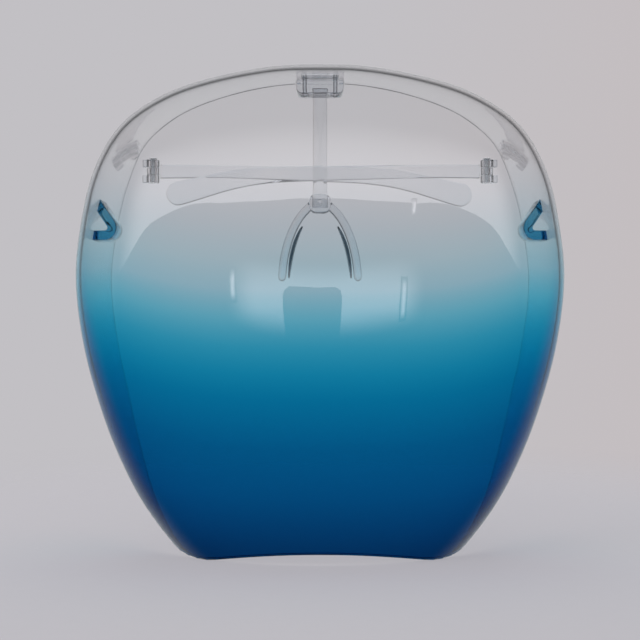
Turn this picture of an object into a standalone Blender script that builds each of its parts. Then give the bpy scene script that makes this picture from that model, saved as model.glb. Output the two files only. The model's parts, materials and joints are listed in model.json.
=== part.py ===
"""Full-face visor glasses: a one-piece tinted lens shell, a clip-on nose bracket and two folding temples.

Frame: metres, +Z up. X = 0 is the plane of symmetry, Y = 0 is the middle of the overall depth and
Z = 0 is the lowest point of the lens's chin edge. The wearer faces -Y, so their left is +X.
The dimensions and shapes below measure Y back from the foremost point of the lens, and Z from a
level that the chin edge dips below at its corners. build() moves the finished assembly forward by
half its depth and up onto that lowest point.
The temples are modelled folded behind the lens, the right one lying over the left one.
"""

import math

import bmesh
import bpy
import numpy as np

MM = 0.001
CLEARANCE = 0.3 * MM
OVERALL_DEPTH = 91.84 * MM
LIFT = 3.56 * MM              # brings the lowest corners of the chin edge to Z = 0

# --- Lens: front outline -------------------------------------------------------------------
# Half of the outline from the brow down the side, as (x, z). The last four points carry the
# curve on below the chin edge, where the shell is cut off.
LENS_CENTRE_Z = 100 * MM
LENS_OUTLINE = [
    (0, 195.6), (20, 194.8), (45, 190.0), (65, 182.8), (82, 170.5), (92.7, 151.4),
    (98, 128), (99.6, 106), (96.2, 80), (89.6, 56), (82, 36), (71.6, 16),
    (56, -4), (39, -19), (20, -29), (0, -33),
]
OUTLINE_SMOOTHING = math.radians(5)

# --- Lens: depth ---------------------------------------------------------------------------
LENS_THICKNESS = 2.2 * MM
DOME_DEPTH = 34 * MM          # from the foremost point back to the widest section
DOME_POWER_OUT = 2.3          # how late the front starts to curve away
DOME_POWER_BACK = 2.3         # how tightly it turns into the side wall
WALL_DRAFT = 1.2 * MM         # how far the wall leans inwards over its first WALL_DRAFT_RUN
WALL_DRAFT_RUN = 60 * MM
# Depth of the wall behind the widest section, as (degrees from the top of the outline, mm).
# Below zero, the edge lies in front of the widest section.
WALL_DEPTHS = [
    (0, 22), (20, 25), (35, 32), (47, 42), (57, 55), (66, 58), (100, 57), (115, 51),
    (126, 39), (134, 25), (140, 12), (146, 1), (152, -6), (180, -6),
]
WALL_SMOOTHING = math.radians(6)
PLUG_BACK_Y = 134 * MM        # beyond every edge of the shell
CHIN_LOW_Z = -3.9 * MM        # level at which the shell is cut off near the chin's two corners
CHIN_ARCH = 4 * MM            # how much higher the chin edge is in the middle
CHIN_ARCH_HALF = 44 * MM
RIM_CORNER = 10 * MM          # blend between the chin edge and the rear edge of the wall
DOME_STEPS = 600
RIM_STEPS = 400
TURN_STEPS = 1440
GRID_SIDE = 20                # cells along one side of the middle of the lens mesh
GRID_HALF = 0.36              # half size of that middle square, in lengths of the dome
DOME_RINGS = 11               # rings of quads from the middle out to the widest section
WALL_RINGS = 6                # rings from there to the rim
RING_SPLIT = 0.86             # where the widest section lies on rays that end before it

# --- Ribs inside the side walls, below the hinges ------------------------------------------
RIB_TOP = (99 * MM, 147.2 * MM)
RIB_CORNER = (84.4 * MM, 127.2 * MM)
RIB_THICKNESS = 4 * MM
RIB_FRONT_Y = 46 * MM
RIB_BACK_Y = 60 * MM
RIB_CORNER_RADIUS = 3.2 * MM
RIB_ROOTING = 0.9 * MM        # how deep a rib's root lies inside the wall

# --- Hinges and end pieces -----------------------------------------------------------------
HINGE_X = 76.4 * MM
HINGE_Y = 87 * MM             # keeps the folded temples in front of the shell's rear edge
HINGE_Z = 159.4 * MM
KNUCKLE_RADIUS = 2.9 * MM
KNUCKLE_HEIGHT = 3.3 * MM     # height of each of the three knuckles
PIN_RADIUS = 0.85 * MM
PIN_HEAD_RADIUS = 1.9 * MM
PIN_HEAD_HEIGHT = 0.9 * MM
SLOT_HALF_WIDTH = 0.25 * MM
WEB_ROOTING = 1 * MM          # how far a knuckle's web runs into the block
WEB_BACK = 0.4 * MM           # how far the web reaches behind the hinge axis
END_BLOCK_INNER_X = 80 * MM
END_BLOCK_OUTER_X = 110 * MM  # beyond the wall, which trims the block
END_BLOCK_FRONT_Y = 75 * MM
END_BLOCK_BACK_Y = 87.6 * MM
END_BLOCK_SHOULDER = (83 * MM, 86.4 * MM)   # where its top slopes down from the high knuckle
END_BLOCK_TOP_Z = 160.1 * MM
END_BLOCK_TAPER_Z = 153.8 * MM  # below this its inner side leans outwards
END_BLOCK_LOW_Z = 142 * MM
END_BLOCK_LOW_X = 82.6 * MM
END_BLOCK_CORNER = 4.5 * MM

# --- Temples -------------------------------------------------------------------------------
TEMPLE_LENGTH = 146.5 * MM
TEMPLE_THICKNESS = 2.6 * MM
TEMPLE_ROUNDING = 0.5 * MM
TEMPLE_ROOT = 3.5 * MM        # where the blade starts, from the hinge axis
# Drop of the centre line below the hinge, and half the height, at distances from the hinge (mm).
# The blade is slim and level at first, then drops and widens into a paddle.
TEMPLE_DROPS = [(0, 0), (25, 0), (60, 0.7), (98, 1.7), (115, 3.6), (130, 7.6), (146.5, 12)]
TEMPLE_HALF_HEIGHTS = [(0, 3.2), (25, 3.0), (60, 3.2), (98, 3.6), (115, 4.2), (132, 5.0), (146.5, 5.6)]
TEMPLE_SMOOTHING = 9 * MM
LEFT_TEMPLE_TUCK = math.radians(1.15)   # the left temple folds a little further in
RIGHT_TEMPLE_LIFT = math.radians(1.15)  # and the right one lies over it

# --- Nose bracket --------------------------------------------------------------------------
NOTCH_HALF = 10.4 * MM
NOTCH_Y = 53 * MM             # front edge of the notch in the brow rim
NOTCH_DEPTH = 20 * MM         # enough to run out through the rim
CLIP_HALF = 10 * MM
CLIP_TOP_HALF = 8 * MM
CLIP_FRONT_Y = 46 * MM
CLIP_BACK_Y = 57.4 * MM
CLIP_WEB_Y = 53.4 * MM
CLIP_LOW_Z = 187 * MM
CLIP_SLOT_LOW_Z = 192.9 * MM
CLIP_SLOT_TOP_Z = 195.95 * MM
CLIP_TOP_Z = 198.8 * MM
CLIP_CORNER = 4.5 * MM
PEG_X = 6.4 * MM
PEG_Y = 49.6 * MM
PEG_RADIUS = 1.1 * MM
PEG_HEAD_RADIUS = 1.9 * MM
PEG_HEAD_HEIGHT = 0.9 * MM
PEG_TOP_Z = 197.5 * MM
PEG_BORE_TOP_Z = 197.9 * MM
STEM_HALF_WIDTH = 3 * MM
STEM_THICKNESS = 2 * MM
STEM_Y = 55.6 * MM            # middle of the stem's thickness
STEM_TOP_Z = 190.2 * MM
STEM_LOW_Z = 139.6 * MM
SADDLE_CROWN_Z = 142 * MM
SADDLE_BLOCK_HALF = 4.6 * MM
SADDLE_BLOCK_DEPTH = 5.6 * MM
SADDLE_BLOCK_LOW_Z = 137 * MM
SADDLE_BLOCK_TOP_Z = 145.4 * MM
SADDLE_BLOCK_ROUNDING = 1.2 * MM
SADDLE_FEET_Z = 108.4 * MM
SADDLE_FEET_X = 16.6 * MM
SADDLE_FEET_BACK = 8 * MM     # how far the feet sweep back towards the nose
SADDLE_LEG_WIDTH = 3.6 * MM
SADDLE_LEG_DEPTH = 3.4 * MM
SNAP_PIN_RADIUS = 0.9 * MM
PAD_THICKNESS = 1.9 * MM
PAD_DEPTH = 8.4 * MM
PAD_SETBACK = 1.2 * MM        # how far a pad sits behind its leg
PAD_SPAN = (0.42, 0.97)       # stretch of the leg that a pad covers

LENS_COLOUR = (0.03, 0.36, 0.52, 1)
CLEAR_COLOUR = (0.86, 0.88, 0.90, 1)
PAD_COLOUR = (0.80, 0.84, 0.88, 1)
STEEL_COLOUR = (0.72, 0.73, 0.75, 1)


# --- Helpers -------------------------------------------------------------------------------
def clear_scene():
    for old in list(bpy.data.objects):
        bpy.data.objects.remove(old, do_unlink=True)


def material(name, colour, roughness, metallic=0.0, transmission=0.0):
    made = bpy.data.materials.new(name)
    made.use_nodes = True
    shader = made.node_tree.nodes["Principled BSDF"]
    shader.inputs["Base Color"].default_value = colour
    shader.inputs["Roughness"].default_value = roughness
    shader.inputs["Metallic"].default_value = metallic
    shader.inputs["Transmission Weight"].default_value = transmission
    return made


def new_object(name, points, faces, finish=None):
    mesh = bpy.data.meshes.new(name)
    mesh.from_pydata([tuple(map(float, p)) for p in points], [], faces)
    mesh.validate()
    shaped = bmesh.new()
    shaped.from_mesh(mesh)
    bmesh.ops.recalc_face_normals(shaped, faces=shaped.faces)
    shaped.to_mesh(mesh)
    shaped.free()
    made = bpy.data.objects.new(name, mesh)
    bpy.context.scene.collection.objects.link(made)
    if finish is not None:
        mesh.materials.append(finish)
    mesh.shade_smooth()
    mesh.set_sharp_from_angle(angle=math.radians(35))
    return made


def prism(name, outline, lift, finish=None):
    """A closed outline swept straight. lift(u, v, end) gives the point of each end, 0 or 1."""
    count = len(outline)
    points = [lift(u, v, end) for end in (0, 1) for u, v in outline]
    sides = [(i, (i + 1) % count, count + (i + 1) % count, count + i) for i in range(count)]
    caps = [tuple(range(count)), tuple(range(count, 2 * count))]
    return new_object(name, points, caps + sides, finish)


def box(name, low, high, finish=None):
    outline = [(low[0], low[1]), (high[0], low[1]), (high[0], high[1]), (low[0], high[1])]
    return prism(name, outline, lambda u, v, end: (u, v, (low[2], high[2])[end]), finish)


def turned(name, profile, segments=24, finish=None):
    """A solid of revolution about Z from (radius, z) points that start and end on the axis."""
    points = [(0, 0, profile[0][1])]
    faces = []
    rings = profile[1:-1]
    for radius, z in rings:
        for step in range(segments):
            turn = 2 * math.pi * step / segments
            points.append((radius * math.cos(turn), radius * math.sin(turn), z))
    points.append((0, 0, profile[-1][1]))
    last = len(points) - 1
    for step in range(segments):
        after = (step + 1) % segments
        faces.append((0, 1 + after, 1 + step))
        for ring in range(len(rings) - 1):
            low = 1 + ring * segments
            high = low + segments
            faces.append((low + step, low + after, high + after, high + step))
        top = 1 + (len(rings) - 1) * segments
        faces.append((last, top + step, top + after))
    return new_object(name, points, faces, finish)


def cylinder(name, radius, low, high, segments=24, finish=None):
    return turned(name, [(0, low), (radius, low), (radius, high), (0, high)], segments, finish)


def tube(name, centres, widths, depths, sides=12, finish=None):
    """An elliptical section along a path. Widths lie in the XZ plane, depths along Y."""
    centres = np.array(centres)
    along = np.gradient(centres, axis=0)
    across = np.stack([along[:, 2], 0 * along[:, 1], -along[:, 0]], axis=1)
    across /= np.linalg.norm(across, axis=1)[:, None]
    points = []
    for centre, side, width, depth in zip(centres, across, widths, depths):
        for step in range(sides):
            turn = 2 * math.pi * (step + 0.5) / sides
            reach = side * (width / 2 * math.cos(turn))
            points.append(centre + reach + np.array([0, depth / 2 * math.sin(turn), 0]))
    faces = [tuple(range(sides)), tuple(range(len(points) - sides, len(points)))]
    for ring in range(len(centres) - 1):
        for step in range(sides):
            low = ring * sides
            after = (step + 1) % sides
            faces.append((low + step, low + after, low + sides + after, low + sides + step))
    return new_object(name, points, faces, finish)


def boolean(target, tool, operation):
    tool.hide_render = True
    tool.display_type = "WIRE"
    change = target.modifiers.new(f"{operation.lower()} {tool.name}", "BOOLEAN")
    change.object = tool
    change.operation = operation
    change.solver = "EXACT"


def bevel(target, width, segments=1, degrees=40):
    rounding = target.modifiers.new("edges", "BEVEL")
    rounding.width = width
    rounding.segments = segments
    rounding.limit_method = "ANGLE"
    rounding.angle_limit = math.radians(degrees)


def arc(centre, radius, start, stop, steps):
    """Points of a circular arc, angles in degrees."""
    turns = np.radians(np.linspace(start, stop, steps))
    return [(centre[0] + radius * math.cos(t), centre[1] + radius * math.sin(t)) for t in turns]


# --- Lens shell ----------------------------------------------------------------------------
def periodic_smooth(values, half_width):
    """A running average of samples taken evenly round a full turn."""
    reach = max(1, round(half_width / (2 * math.pi) * len(values)))
    weights = np.hanning(2 * reach + 3)[1:-1]
    padded = np.concatenate([values[-reach:], values, values[:reach]])
    return np.convolve(padded, weights / weights.sum(), "valid")


def catmull_rom(points, steps=24):
    """A smooth curve through the points of half an outline, mirrored at both of its ends."""
    mirrored = np.array([(-1, 1)])
    points = np.array(points, float)
    chain = np.vstack([points[1] * mirrored, points, points[-2] * mirrored])
    out = []
    for before, start, stop, after in zip(chain, chain[1:], chain[2:], chain[3:]):
        for t in np.linspace(0, 1, steps, endpoint=False):
            out.append(0.5 * (
                2 * start + (stop - before) * t
                + (2 * before - 5 * start + 4 * stop - after) * t ** 2
                + (3 * start - 3 * stop + after - before) * t ** 3
            ))
    out.append(points[-1])
    return np.array(out)


def turn_table():
    """Angles round the outline, from straight up towards +X, with its radius and wall depth."""
    turns = np.linspace(-math.pi, math.pi, TURN_STEPS, endpoint=False)
    curve = catmull_rom(LENS_OUTLINE) * MM
    angle = np.arctan2(curve[:, 0], curve[:, 1] - LENS_CENTRE_Z)
    reach = np.hypot(curve[:, 0], curve[:, 1] - LENS_CENTRE_Z)
    radius = np.interp(np.abs(turns), angle, reach)
    knots = np.array(WALL_DEPTHS, float)
    depth = np.interp(np.degrees(np.abs(turns)), knots[:, 0], knots[:, 1]) * MM
    return turns, periodic_smooth(radius, OUTLINE_SMOOTHING), periodic_smooth(depth, WALL_SMOOTHING)


TURNS, OUTLINE_RADIUS, WALL_DEPTH = turn_table()


def at_turn(table, turn):
    return np.interp(turn, TURNS, table, period=2 * math.pi)


def dome_profile():
    """The front's section as shares of the way out and back, evenly spaced along its length.
    Returns both, with the length for an outline of mean radius."""
    out = np.sin(np.linspace(0, math.pi / 2, DOME_STEPS))
    back = 1 - (1 - out ** DOME_POWER_OUT) ** (1 / DOME_POWER_BACK)
    steps = np.hypot(np.diff(out) * OUTLINE_RADIUS.mean(), np.diff(back) * DOME_DEPTH)
    run = np.concatenate([[0], np.cumsum(steps)])
    even = np.linspace(0, run[-1], DOME_STEPS)
    return np.interp(even, run, out), np.interp(even, run, back), run[-1]


DOME_OUT, DOME_BACK, DOME_RUN = dome_profile()


def on_surface(turn, reach):
    """A point of the outer surface. Reach is 0 at the lens centre and 1 at the widest section,
    and goes on past 1 along the side wall, counted in lengths of the dome's section."""
    spread = np.linspace(0, 1, DOME_STEPS)
    radius = at_turn(OUTLINE_RADIUS, turn)
    behind = np.clip(reach - 1, 0, None) * DOME_RUN
    out = np.interp(reach, spread, DOME_OUT) * radius - WALL_DRAFT * (behind / WALL_DRAFT_RUN) ** 2
    back = np.interp(reach, spread, DOME_BACK) * DOME_DEPTH + behind
    return np.stack([out * np.sin(turn), back, LENS_CENTRE_Z + out * np.cos(turn)], axis=-1)


def smooth_min(a, b, blend):
    share = np.clip(0.5 + 0.5 * (b - a) / blend, 0, 1)
    return b + (a - b) * share - blend * share * (1 - share)


def rim_reach(turn):
    """How far the surface reaches at one turn, up to its rear edge or its chin edge."""
    end = 1 + at_turn(WALL_DEPTH, turn) / DOME_RUN
    reach = np.linspace(0.2, end, RIM_STEPS)
    line = on_surface(np.full(RIM_STEPS, turn), reach)
    arch = CHIN_ARCH * np.clip(1 - (line[:, 0] / CHIN_ARCH_HALF) ** 2, 0, 1)
    room = smooth_min((end - reach) * DOME_RUN, line[:, 2] - CHIN_LOW_Z - arch, RIM_CORNER)
    outside = np.flatnonzero(room <= 0)
    if len(outside) == 0:
        return end
    return float(np.interp(0, [room[outside[0]], room[outside[0] - 1]],
                           [reach[outside[0]], reach[outside[0] - 1]]))


def flat_rim(count):
    """The rim laid flat, as points with reach for radius, evenly spaced from the bottom middle."""
    turns = np.linspace(-math.pi, math.pi, TURN_STEPS + 1)
    reach = np.array([rim_reach(turn) for turn in turns])
    flat = np.column_stack([reach * np.sin(turns), reach * np.cos(turns)])
    run = np.concatenate([[0], np.cumsum(np.linalg.norm(np.diff(flat, axis=0), axis=1))])
    even = np.linspace(0, run[-1], count + 1)[:-1]
    return np.column_stack([np.interp(even, run, flat[:, axis]) for axis in (0, 1)])


def flat_middle(turns):
    """The middle of the flat layout: a patch of quads inside a rounded square, whose edge points
    are at the given turns. Returns its points by (row, column) and its edge loop in order."""
    size = (np.sin(turns) ** 4 + np.cos(turns) ** 4) ** 0.25
    edge = np.column_stack([np.sin(turns), np.cos(turns)]) * (GRID_HALF / size)[:, None]
    half, last = GRID_SIDE // 2, GRID_SIDE
    loop = [(0, c) for c in range(half, 0, -1)] + [(r, 0) for r in range(last)]
    loop += [(last, c) for c in range(last)] + [(r, last) for r in range(last, 0, -1)]
    loop += [(0, c) for c in range(last, half, -1)]
    at = dict(zip(loop, edge))
    for row in range(1, last):
        for column in range(1, last):
            u, v = column / last, row / last
            across = (1 - u) * at[row, 0] + u * at[row, last]
            up = (1 - v) * at[0, column] + v * at[last, column]
            low = (1 - u) * at[0, 0] + u * at[0, last]
            high = (1 - u) * at[last, 0] + u * at[last, last]
            at[row, column] = across + up - (1 - v) * low - v * high
    return at, loop


def ring_reaches(start, stop):
    """Where the rings cross rays that run from start to stop, as one row of reaches per ring.
    One ring follows the widest section wherever the rays get that far."""
    split = np.minimum(1, start + (stop - start) * RING_SPLIT)
    rows = [start + (split - start) * k / DOME_RINGS for k in range(1, DOME_RINGS + 1)]
    return rows + [split + (stop - split) * k / WALL_RINGS for k in range(1, WALL_RINGS + 1)]


def lens_surface():
    """The outer surface as a patch of quads in the middle with rings of quads round it, laid
    out flat and then wrapped on. Returns points, quads and the loop of rim points."""
    rim = flat_rim(4 * GRID_SIDE)
    turns = np.arctan2(rim[:, 0], rim[:, 1])
    at, loop = flat_middle(turns)
    index = {place: i for i, place in enumerate(at)}
    flat = list(at.values())
    quads = []
    for row in range(GRID_SIDE):
        for column in range(GRID_SIDE):
            corners = [(row, column), (row, column + 1), (row + 1, column + 1), (row + 1, column)]
            quads.append(tuple(index[corner] for corner in corners))
    inner = [index[place] for place in loop]
    start = np.hypot(*np.array([at[place] for place in loop]).T)
    for reaches in ring_reaches(start, np.hypot(*rim.T)):
        outer = list(range(len(flat), len(flat) + len(inner)))
        flat.extend(np.column_stack([np.sin(turns), np.cos(turns)]) * reaches[:, None])
        for step in range(len(inner)):
            after = (step + 1) % len(inner)
            quads.append((inner[step], inner[after], outer[after], outer[step]))
        inner = outer
    flat = np.array(flat)
    points = on_surface(np.arctan2(flat[:, 0], flat[:, 1]), np.hypot(flat[:, 0], flat[:, 1]))
    return points, quads, inner


def surface_normals(points, quads):
    """Outward normals at the points, from the quads around each."""
    normals = np.zeros_like(points)
    for quad in quads:
        a, b, c, d = points[list(quad)]
        facing = np.cross(c - a, d - b)
        normals[list(quad)] += facing
    normals /= np.linalg.norm(normals, axis=1)[:, None]
    middle = np.argmin(points[:, 1])
    return normals if normals[middle, 1] < 0 else -normals


def lens_shell(points, quads, rim, finish):
    inside = points - surface_normals(points, quads) * LENS_THICKNESS
    count = len(points)
    faces = list(quads) + [tuple(count + i for i in reversed(quad)) for quad in quads]
    for here, after in zip(rim, rim[1:] + rim[:1]):
        faces.append((here, after, count + after, count + here))
    return new_object("visor_lens", np.vstack([points, inside]), faces, finish)


def lens_plug(name, points, quads, rim, inset):
    """A closed solid that fills the lens up to a given distance inside its outer surface."""
    inside = points - surface_normals(points, quads) * inset
    back = inside[rim].copy()
    back[:, 1] = PLUG_BACK_Y
    first = len(inside)
    faces = list(quads)
    for step, here in enumerate(rim):
        after = (step + 1) % len(rim)
        faces.append((here, rim[after], first + after, first + step))
    faces.append(tuple(range(first, first + len(rim))))
    return new_object(name, np.vstack([inside, back]), faces)


def rib_edge(shift):
    """The V of a rib seen from the front, down from the wall, round its corner and straight out,
    for the +X side, moved sideways from its centre line."""
    start, corner = np.array(RIB_TOP), np.array(RIB_CORNER)
    down = (corner - start) / np.linalg.norm(corner - start)
    normal = np.array([-down[1], down[0]])
    opening = math.acos(-down[0])
    first = corner - down * RIB_CORNER_RADIUS / math.tan(opening / 2)
    centre = first + normal * RIB_CORNER_RADIUS
    from_down = math.degrees(math.atan2(-normal[1], -normal[0])) % 360
    bend = arc(centre, RIB_CORNER_RADIUS - shift, from_down, 270, 7)
    return [tuple(start + normal * shift)] + bend + [(RIB_TOP[0], corner[1] + shift)]


def rib_outline():
    half = RIB_THICKNESS / 2
    return rib_edge(-half) + rib_edge(half)[::-1]


def add_ribs(lens, plug):
    for side, name in ((1, "left_rib_tool"), (-1, "right_rib_tool")):
        outline = rib_outline()
        ends = (RIB_FRONT_Y, RIB_BACK_Y)
        rib = prism(name, outline, lambda u, v, end, s=side: (s * u, ends[end], v))
        boolean(rib, plug, "INTERSECT")
        boolean(lens, rib, "UNION")


def make_lens(points, quads, rim):
    finish = material("tinted_polycarbonate", LENS_COLOUR, 0.05, transmission=0.9)
    lens = lens_shell(points, quads, rim, finish)
    add_ribs(lens, lens_plug("rib_limit_tool", points, quads, rim, RIB_ROOTING))
    notch_low = (-NOTCH_HALF, NOTCH_Y, CLIP_LOW_Z)
    notch_high = (NOTCH_HALF, NOTCH_Y + NOTCH_DEPTH, CLIP_TOP_Z)
    boolean(lens, box("clip_notch_tool", notch_low, notch_high), "DIFFERENCE")
    for side, name in ((1, "left_peg_hole_tool"), (-1, "right_peg_hole_tool")):
        hole = cylinder(name, PEG_RADIUS + CLEARANCE, CLIP_LOW_Z, CLIP_TOP_Z)
        hole.location = (side * PEG_X, PEG_Y, 0)
        boolean(lens, hole, "DIFFERENCE")
    return lens


# --- Hinges and temples --------------------------------------------------------------------
def knuckle_heights():
    """Lower and upper ends of the low, middle and high knuckles, from the hinge centre."""
    pitch = KNUCKLE_HEIGHT + CLEARANCE
    return [(k * pitch - KNUCKLE_HEIGHT / 2, k * pitch + KNUCKLE_HEIGHT / 2) for k in (-1, 0, 1)]


def end_piece_outline(side):
    """The block seen from the front, with its lower inner corner rounded."""
    top = HINGE_Z + knuckle_heights()[2][1]
    centre = (END_BLOCK_LOW_X + END_BLOCK_CORNER, END_BLOCK_LOW_Z + END_BLOCK_CORNER)
    outline = [(END_BLOCK_OUTER_X, END_BLOCK_LOW_Z), (END_BLOCK_OUTER_X, END_BLOCK_TOP_Z)]
    outline += [(END_BLOCK_SHOULDER[1], END_BLOCK_TOP_Z), (END_BLOCK_SHOULDER[0], top)]
    outline += [(END_BLOCK_INNER_X, top), (END_BLOCK_INNER_X, END_BLOCK_TAPER_Z)]
    outline += arc(centre, END_BLOCK_CORNER, 190, 270, 7)
    return [(side * x, z) for x, z in outline]


def make_end_piece(side, name, plug, finish):
    """A block bonded inside the wall, with the hinge's high and low knuckles."""
    ends = (END_BLOCK_FRONT_Y, END_BLOCK_BACK_Y)
    piece = prism(name, end_piece_outline(side), lambda u, v, end: (u, ends[end], v), finish)
    boolean(piece, plug, "INTERSECT")
    for place, (low, high) in zip(("low", "middle", "high"), knuckle_heights()):
        if place == "middle":
            continue
        barrel = cylinder(f"{name}_{place}_barrel_tool", KNUCKLE_RADIUS, low, high)
        barrel.location = (side * HINGE_X, HINGE_Y, HINGE_Z)
        boolean(piece, barrel, "UNION")
        inner, outer = sorted((side * HINGE_X, side * (END_BLOCK_INNER_X + WEB_ROOTING)))
        web_low = (inner, HINGE_Y - KNUCKLE_RADIUS * 0.97, HINGE_Z + low)
        web_high = (outer, HINGE_Y + WEB_BACK, HINGE_Z + high)
        boolean(piece, box(f"{name}_{place}_web_tool", web_low, web_high), "UNION")
    span = knuckle_heights()
    bore = cylinder(f"{name}_bore_tool", PIN_RADIUS + CLEARANCE, span[0][0] - MM, span[2][1] + MM)
    bore.location = (side * HINGE_X, HINGE_Y, HINGE_Z)
    boolean(piece, bore, "DIFFERENCE")
    return piece


def make_hinge_screw(side, name, finish):
    span = knuckle_heights()
    low = span[0][0] + 0.2 * MM
    seat = span[2][1] + CLEARANCE
    profile = [
        (0, low), (PIN_RADIUS * 0.7, low), (PIN_RADIUS, low + 0.4 * MM), (PIN_RADIUS, seat),
        (PIN_HEAD_RADIUS, seat), (PIN_HEAD_RADIUS, seat + PIN_HEAD_HEIGHT * 0.5),
        (PIN_HEAD_RADIUS * 0.7, seat + PIN_HEAD_HEIGHT), (0, seat + PIN_HEAD_HEIGHT),
    ]
    screw = turned(name, profile, 20, finish)
    screw.location = (side * HINGE_X, HINGE_Y, HINGE_Z)
    slot_low = (-PIN_HEAD_RADIUS * 1.2, -SLOT_HALF_WIDTH, seat + PIN_HEAD_HEIGHT * 0.55)
    slot_high = (PIN_HEAD_RADIUS * 1.2, SLOT_HALF_WIDTH, seat + PIN_HEAD_HEIGHT * 2)
    slot = box(f"{name}_slot_tool", slot_low, slot_high)
    slot.location = screw.location
    boolean(screw, slot, "DIFFERENCE")
    return screw


def along_temple(knots, reach):
    """A value at a distance from the hinge, averaged over a short length so that it has no kinks."""
    table = np.array(knots, float) * MM
    nearby = reach + np.linspace(-TEMPLE_SMOOTHING, TEMPLE_SMOOTHING, 13)
    return float(np.interp(nearby, table[:, 0], table[:, 1]).mean())


def temple_line(reach):
    return -along_temple(TEMPLE_DROPS, reach)


def temple_half_height(reach):
    return along_temple(TEMPLE_HALF_HEIGHTS, reach)


def temple_outline():
    """The blade seen from the side as (reach, height), with a round tip."""
    end = TEMPLE_LENGTH - TEMPLE_HALF_HEIGHTS[-1][1] * MM
    reaches = np.concatenate([[TEMPLE_ROOT], np.linspace(20 * MM, end, 17)])
    slopes = [(temple_line(r + MM / 10) - temple_line(r - MM / 10)) / (MM / 5) for r in reaches]
    top, low = [], []
    for reach, slope in zip(reaches, slopes):
        lean = math.atan(slope) if reach > TEMPLE_ROOT else 0.0
        half = temple_half_height(reach)
        across = np.array([-math.sin(lean), math.cos(lean)]) * half
        centre = np.array([reach, temple_line(reach)])
        top.append(tuple(centre + across))
        low.append(tuple(centre - across))
    lean = math.degrees(math.atan(slopes[-1]))
    centre = (end, temple_line(end))
    tip = arc(centre, temple_half_height(end), 90 + lean, -90 + lean, 9)[1:-1]
    return top + tip + low[::-1]


def make_temple(side, name, fold, finish):
    """Modelled open, pointing to +Y from the hinge axis at its origin, then turned to its fold."""
    half = TEMPLE_THICKNESS / 2
    outline = temple_outline()
    temple = prism(name, outline, lambda u, v, end: ((-half, half)[end], u, v), finish)
    bevel(temple, TEMPLE_ROUNDING, 2, 50)
    low, high = knuckle_heights()[1]
    barrel = cylinder(f"{name}_barrel_tool", KNUCKLE_RADIUS, low, high)
    neck = box(f"{name}_neck_tool", (-half * 0.9, 0, low), (half * 0.9, TEMPLE_ROOT + 2 * MM, high))
    bore = cylinder(f"{name}_bore_tool", PIN_RADIUS + CLEARANCE, low - MM, high + MM)
    for tool, operation in ((barrel, "UNION"), (neck, "UNION"), (bore, "DIFFERENCE")):
        tool.parent = temple
        boolean(temple, tool, operation)
    temple.location = (side * HINGE_X, HINGE_Y, HINGE_Z)
    temple.rotation_euler = (0, 0, side * fold)
    return temple


# --- Nose bracket --------------------------------------------------------------------------
def clip_outline():
    """The part of the clip below the brow, from the front, with round lower corners."""
    low, radius = CLIP_LOW_Z, CLIP_CORNER
    reach = CLIP_HALF - radius
    outline = [(-CLIP_HALF, CLIP_SLOT_LOW_Z)]
    outline += arc((-reach, low + radius), radius, 180, 270, 7)
    outline += arc((reach, low + radius), radius, 270, 360, 7)
    return outline + [(CLIP_HALF, CLIP_SLOT_LOW_Z)]


def make_clip(finish):
    """A C-shaped clip over the rear edge of the brow, with a socket for the stem."""
    ends = (CLIP_FRONT_Y, CLIP_BACK_Y)
    clip = prism("bridge_clip", clip_outline(), lambda u, v, end: (u, ends[end], v), finish)
    top = CLIP_TOP_HALF
    jaw = box("clip_jaw_tool", (-top, CLIP_FRONT_Y, CLIP_SLOT_TOP_Z), (top, CLIP_BACK_Y, CLIP_TOP_Z))
    web_low = (-top, CLIP_WEB_Y, CLIP_SLOT_LOW_Z - MM)
    web_high = (top, CLIP_BACK_Y, CLIP_SLOT_TOP_Z + MM)
    boolean(clip, jaw, "UNION")
    boolean(clip, box("clip_web_tool", web_low, web_high), "UNION")
    half_width = STEM_HALF_WIDTH + CLEARANCE
    half_depth = STEM_THICKNESS / 2 + CLEARANCE
    socket_low = (-half_width, STEM_Y - half_depth, CLIP_LOW_Z - MM)
    socket_high = (half_width, STEM_Y + half_depth, STEM_TOP_Z + CLEARANCE)
    boolean(clip, box("clip_socket_tool", socket_low, socket_high), "DIFFERENCE")
    for side, name in ((1, "left_peg_bore_tool"), (-1, "right_peg_bore_tool")):
        bore = cylinder(name, PEG_RADIUS + CLEARANCE, CLIP_LOW_Z - MM, PEG_BORE_TOP_Z)
        bore.location = (side * PEG_X, PEG_Y, 0)
        boolean(clip, bore, "DIFFERENCE")
    return clip


def make_clip_peg(side, name, finish):
    """A headed peg from below through the clip's lower jaw, the brow and its upper jaw."""
    seat = CLIP_LOW_Z - CLEARANCE
    profile = [
        (0, seat - PEG_HEAD_HEIGHT), (PEG_HEAD_RADIUS * 0.75, seat - PEG_HEAD_HEIGHT),
        (PEG_HEAD_RADIUS, seat - PEG_HEAD_HEIGHT * 0.5), (PEG_HEAD_RADIUS, seat),
        (PEG_RADIUS, seat), (PEG_RADIUS, PEG_TOP_Z - 0.4 * MM), (PEG_RADIUS * 0.6, PEG_TOP_Z),
        (0, PEG_TOP_Z),
    ]
    peg = turned(name, profile, 20, finish)
    peg.location = (side * PEG_X, PEG_Y, 0)
    return peg


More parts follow.
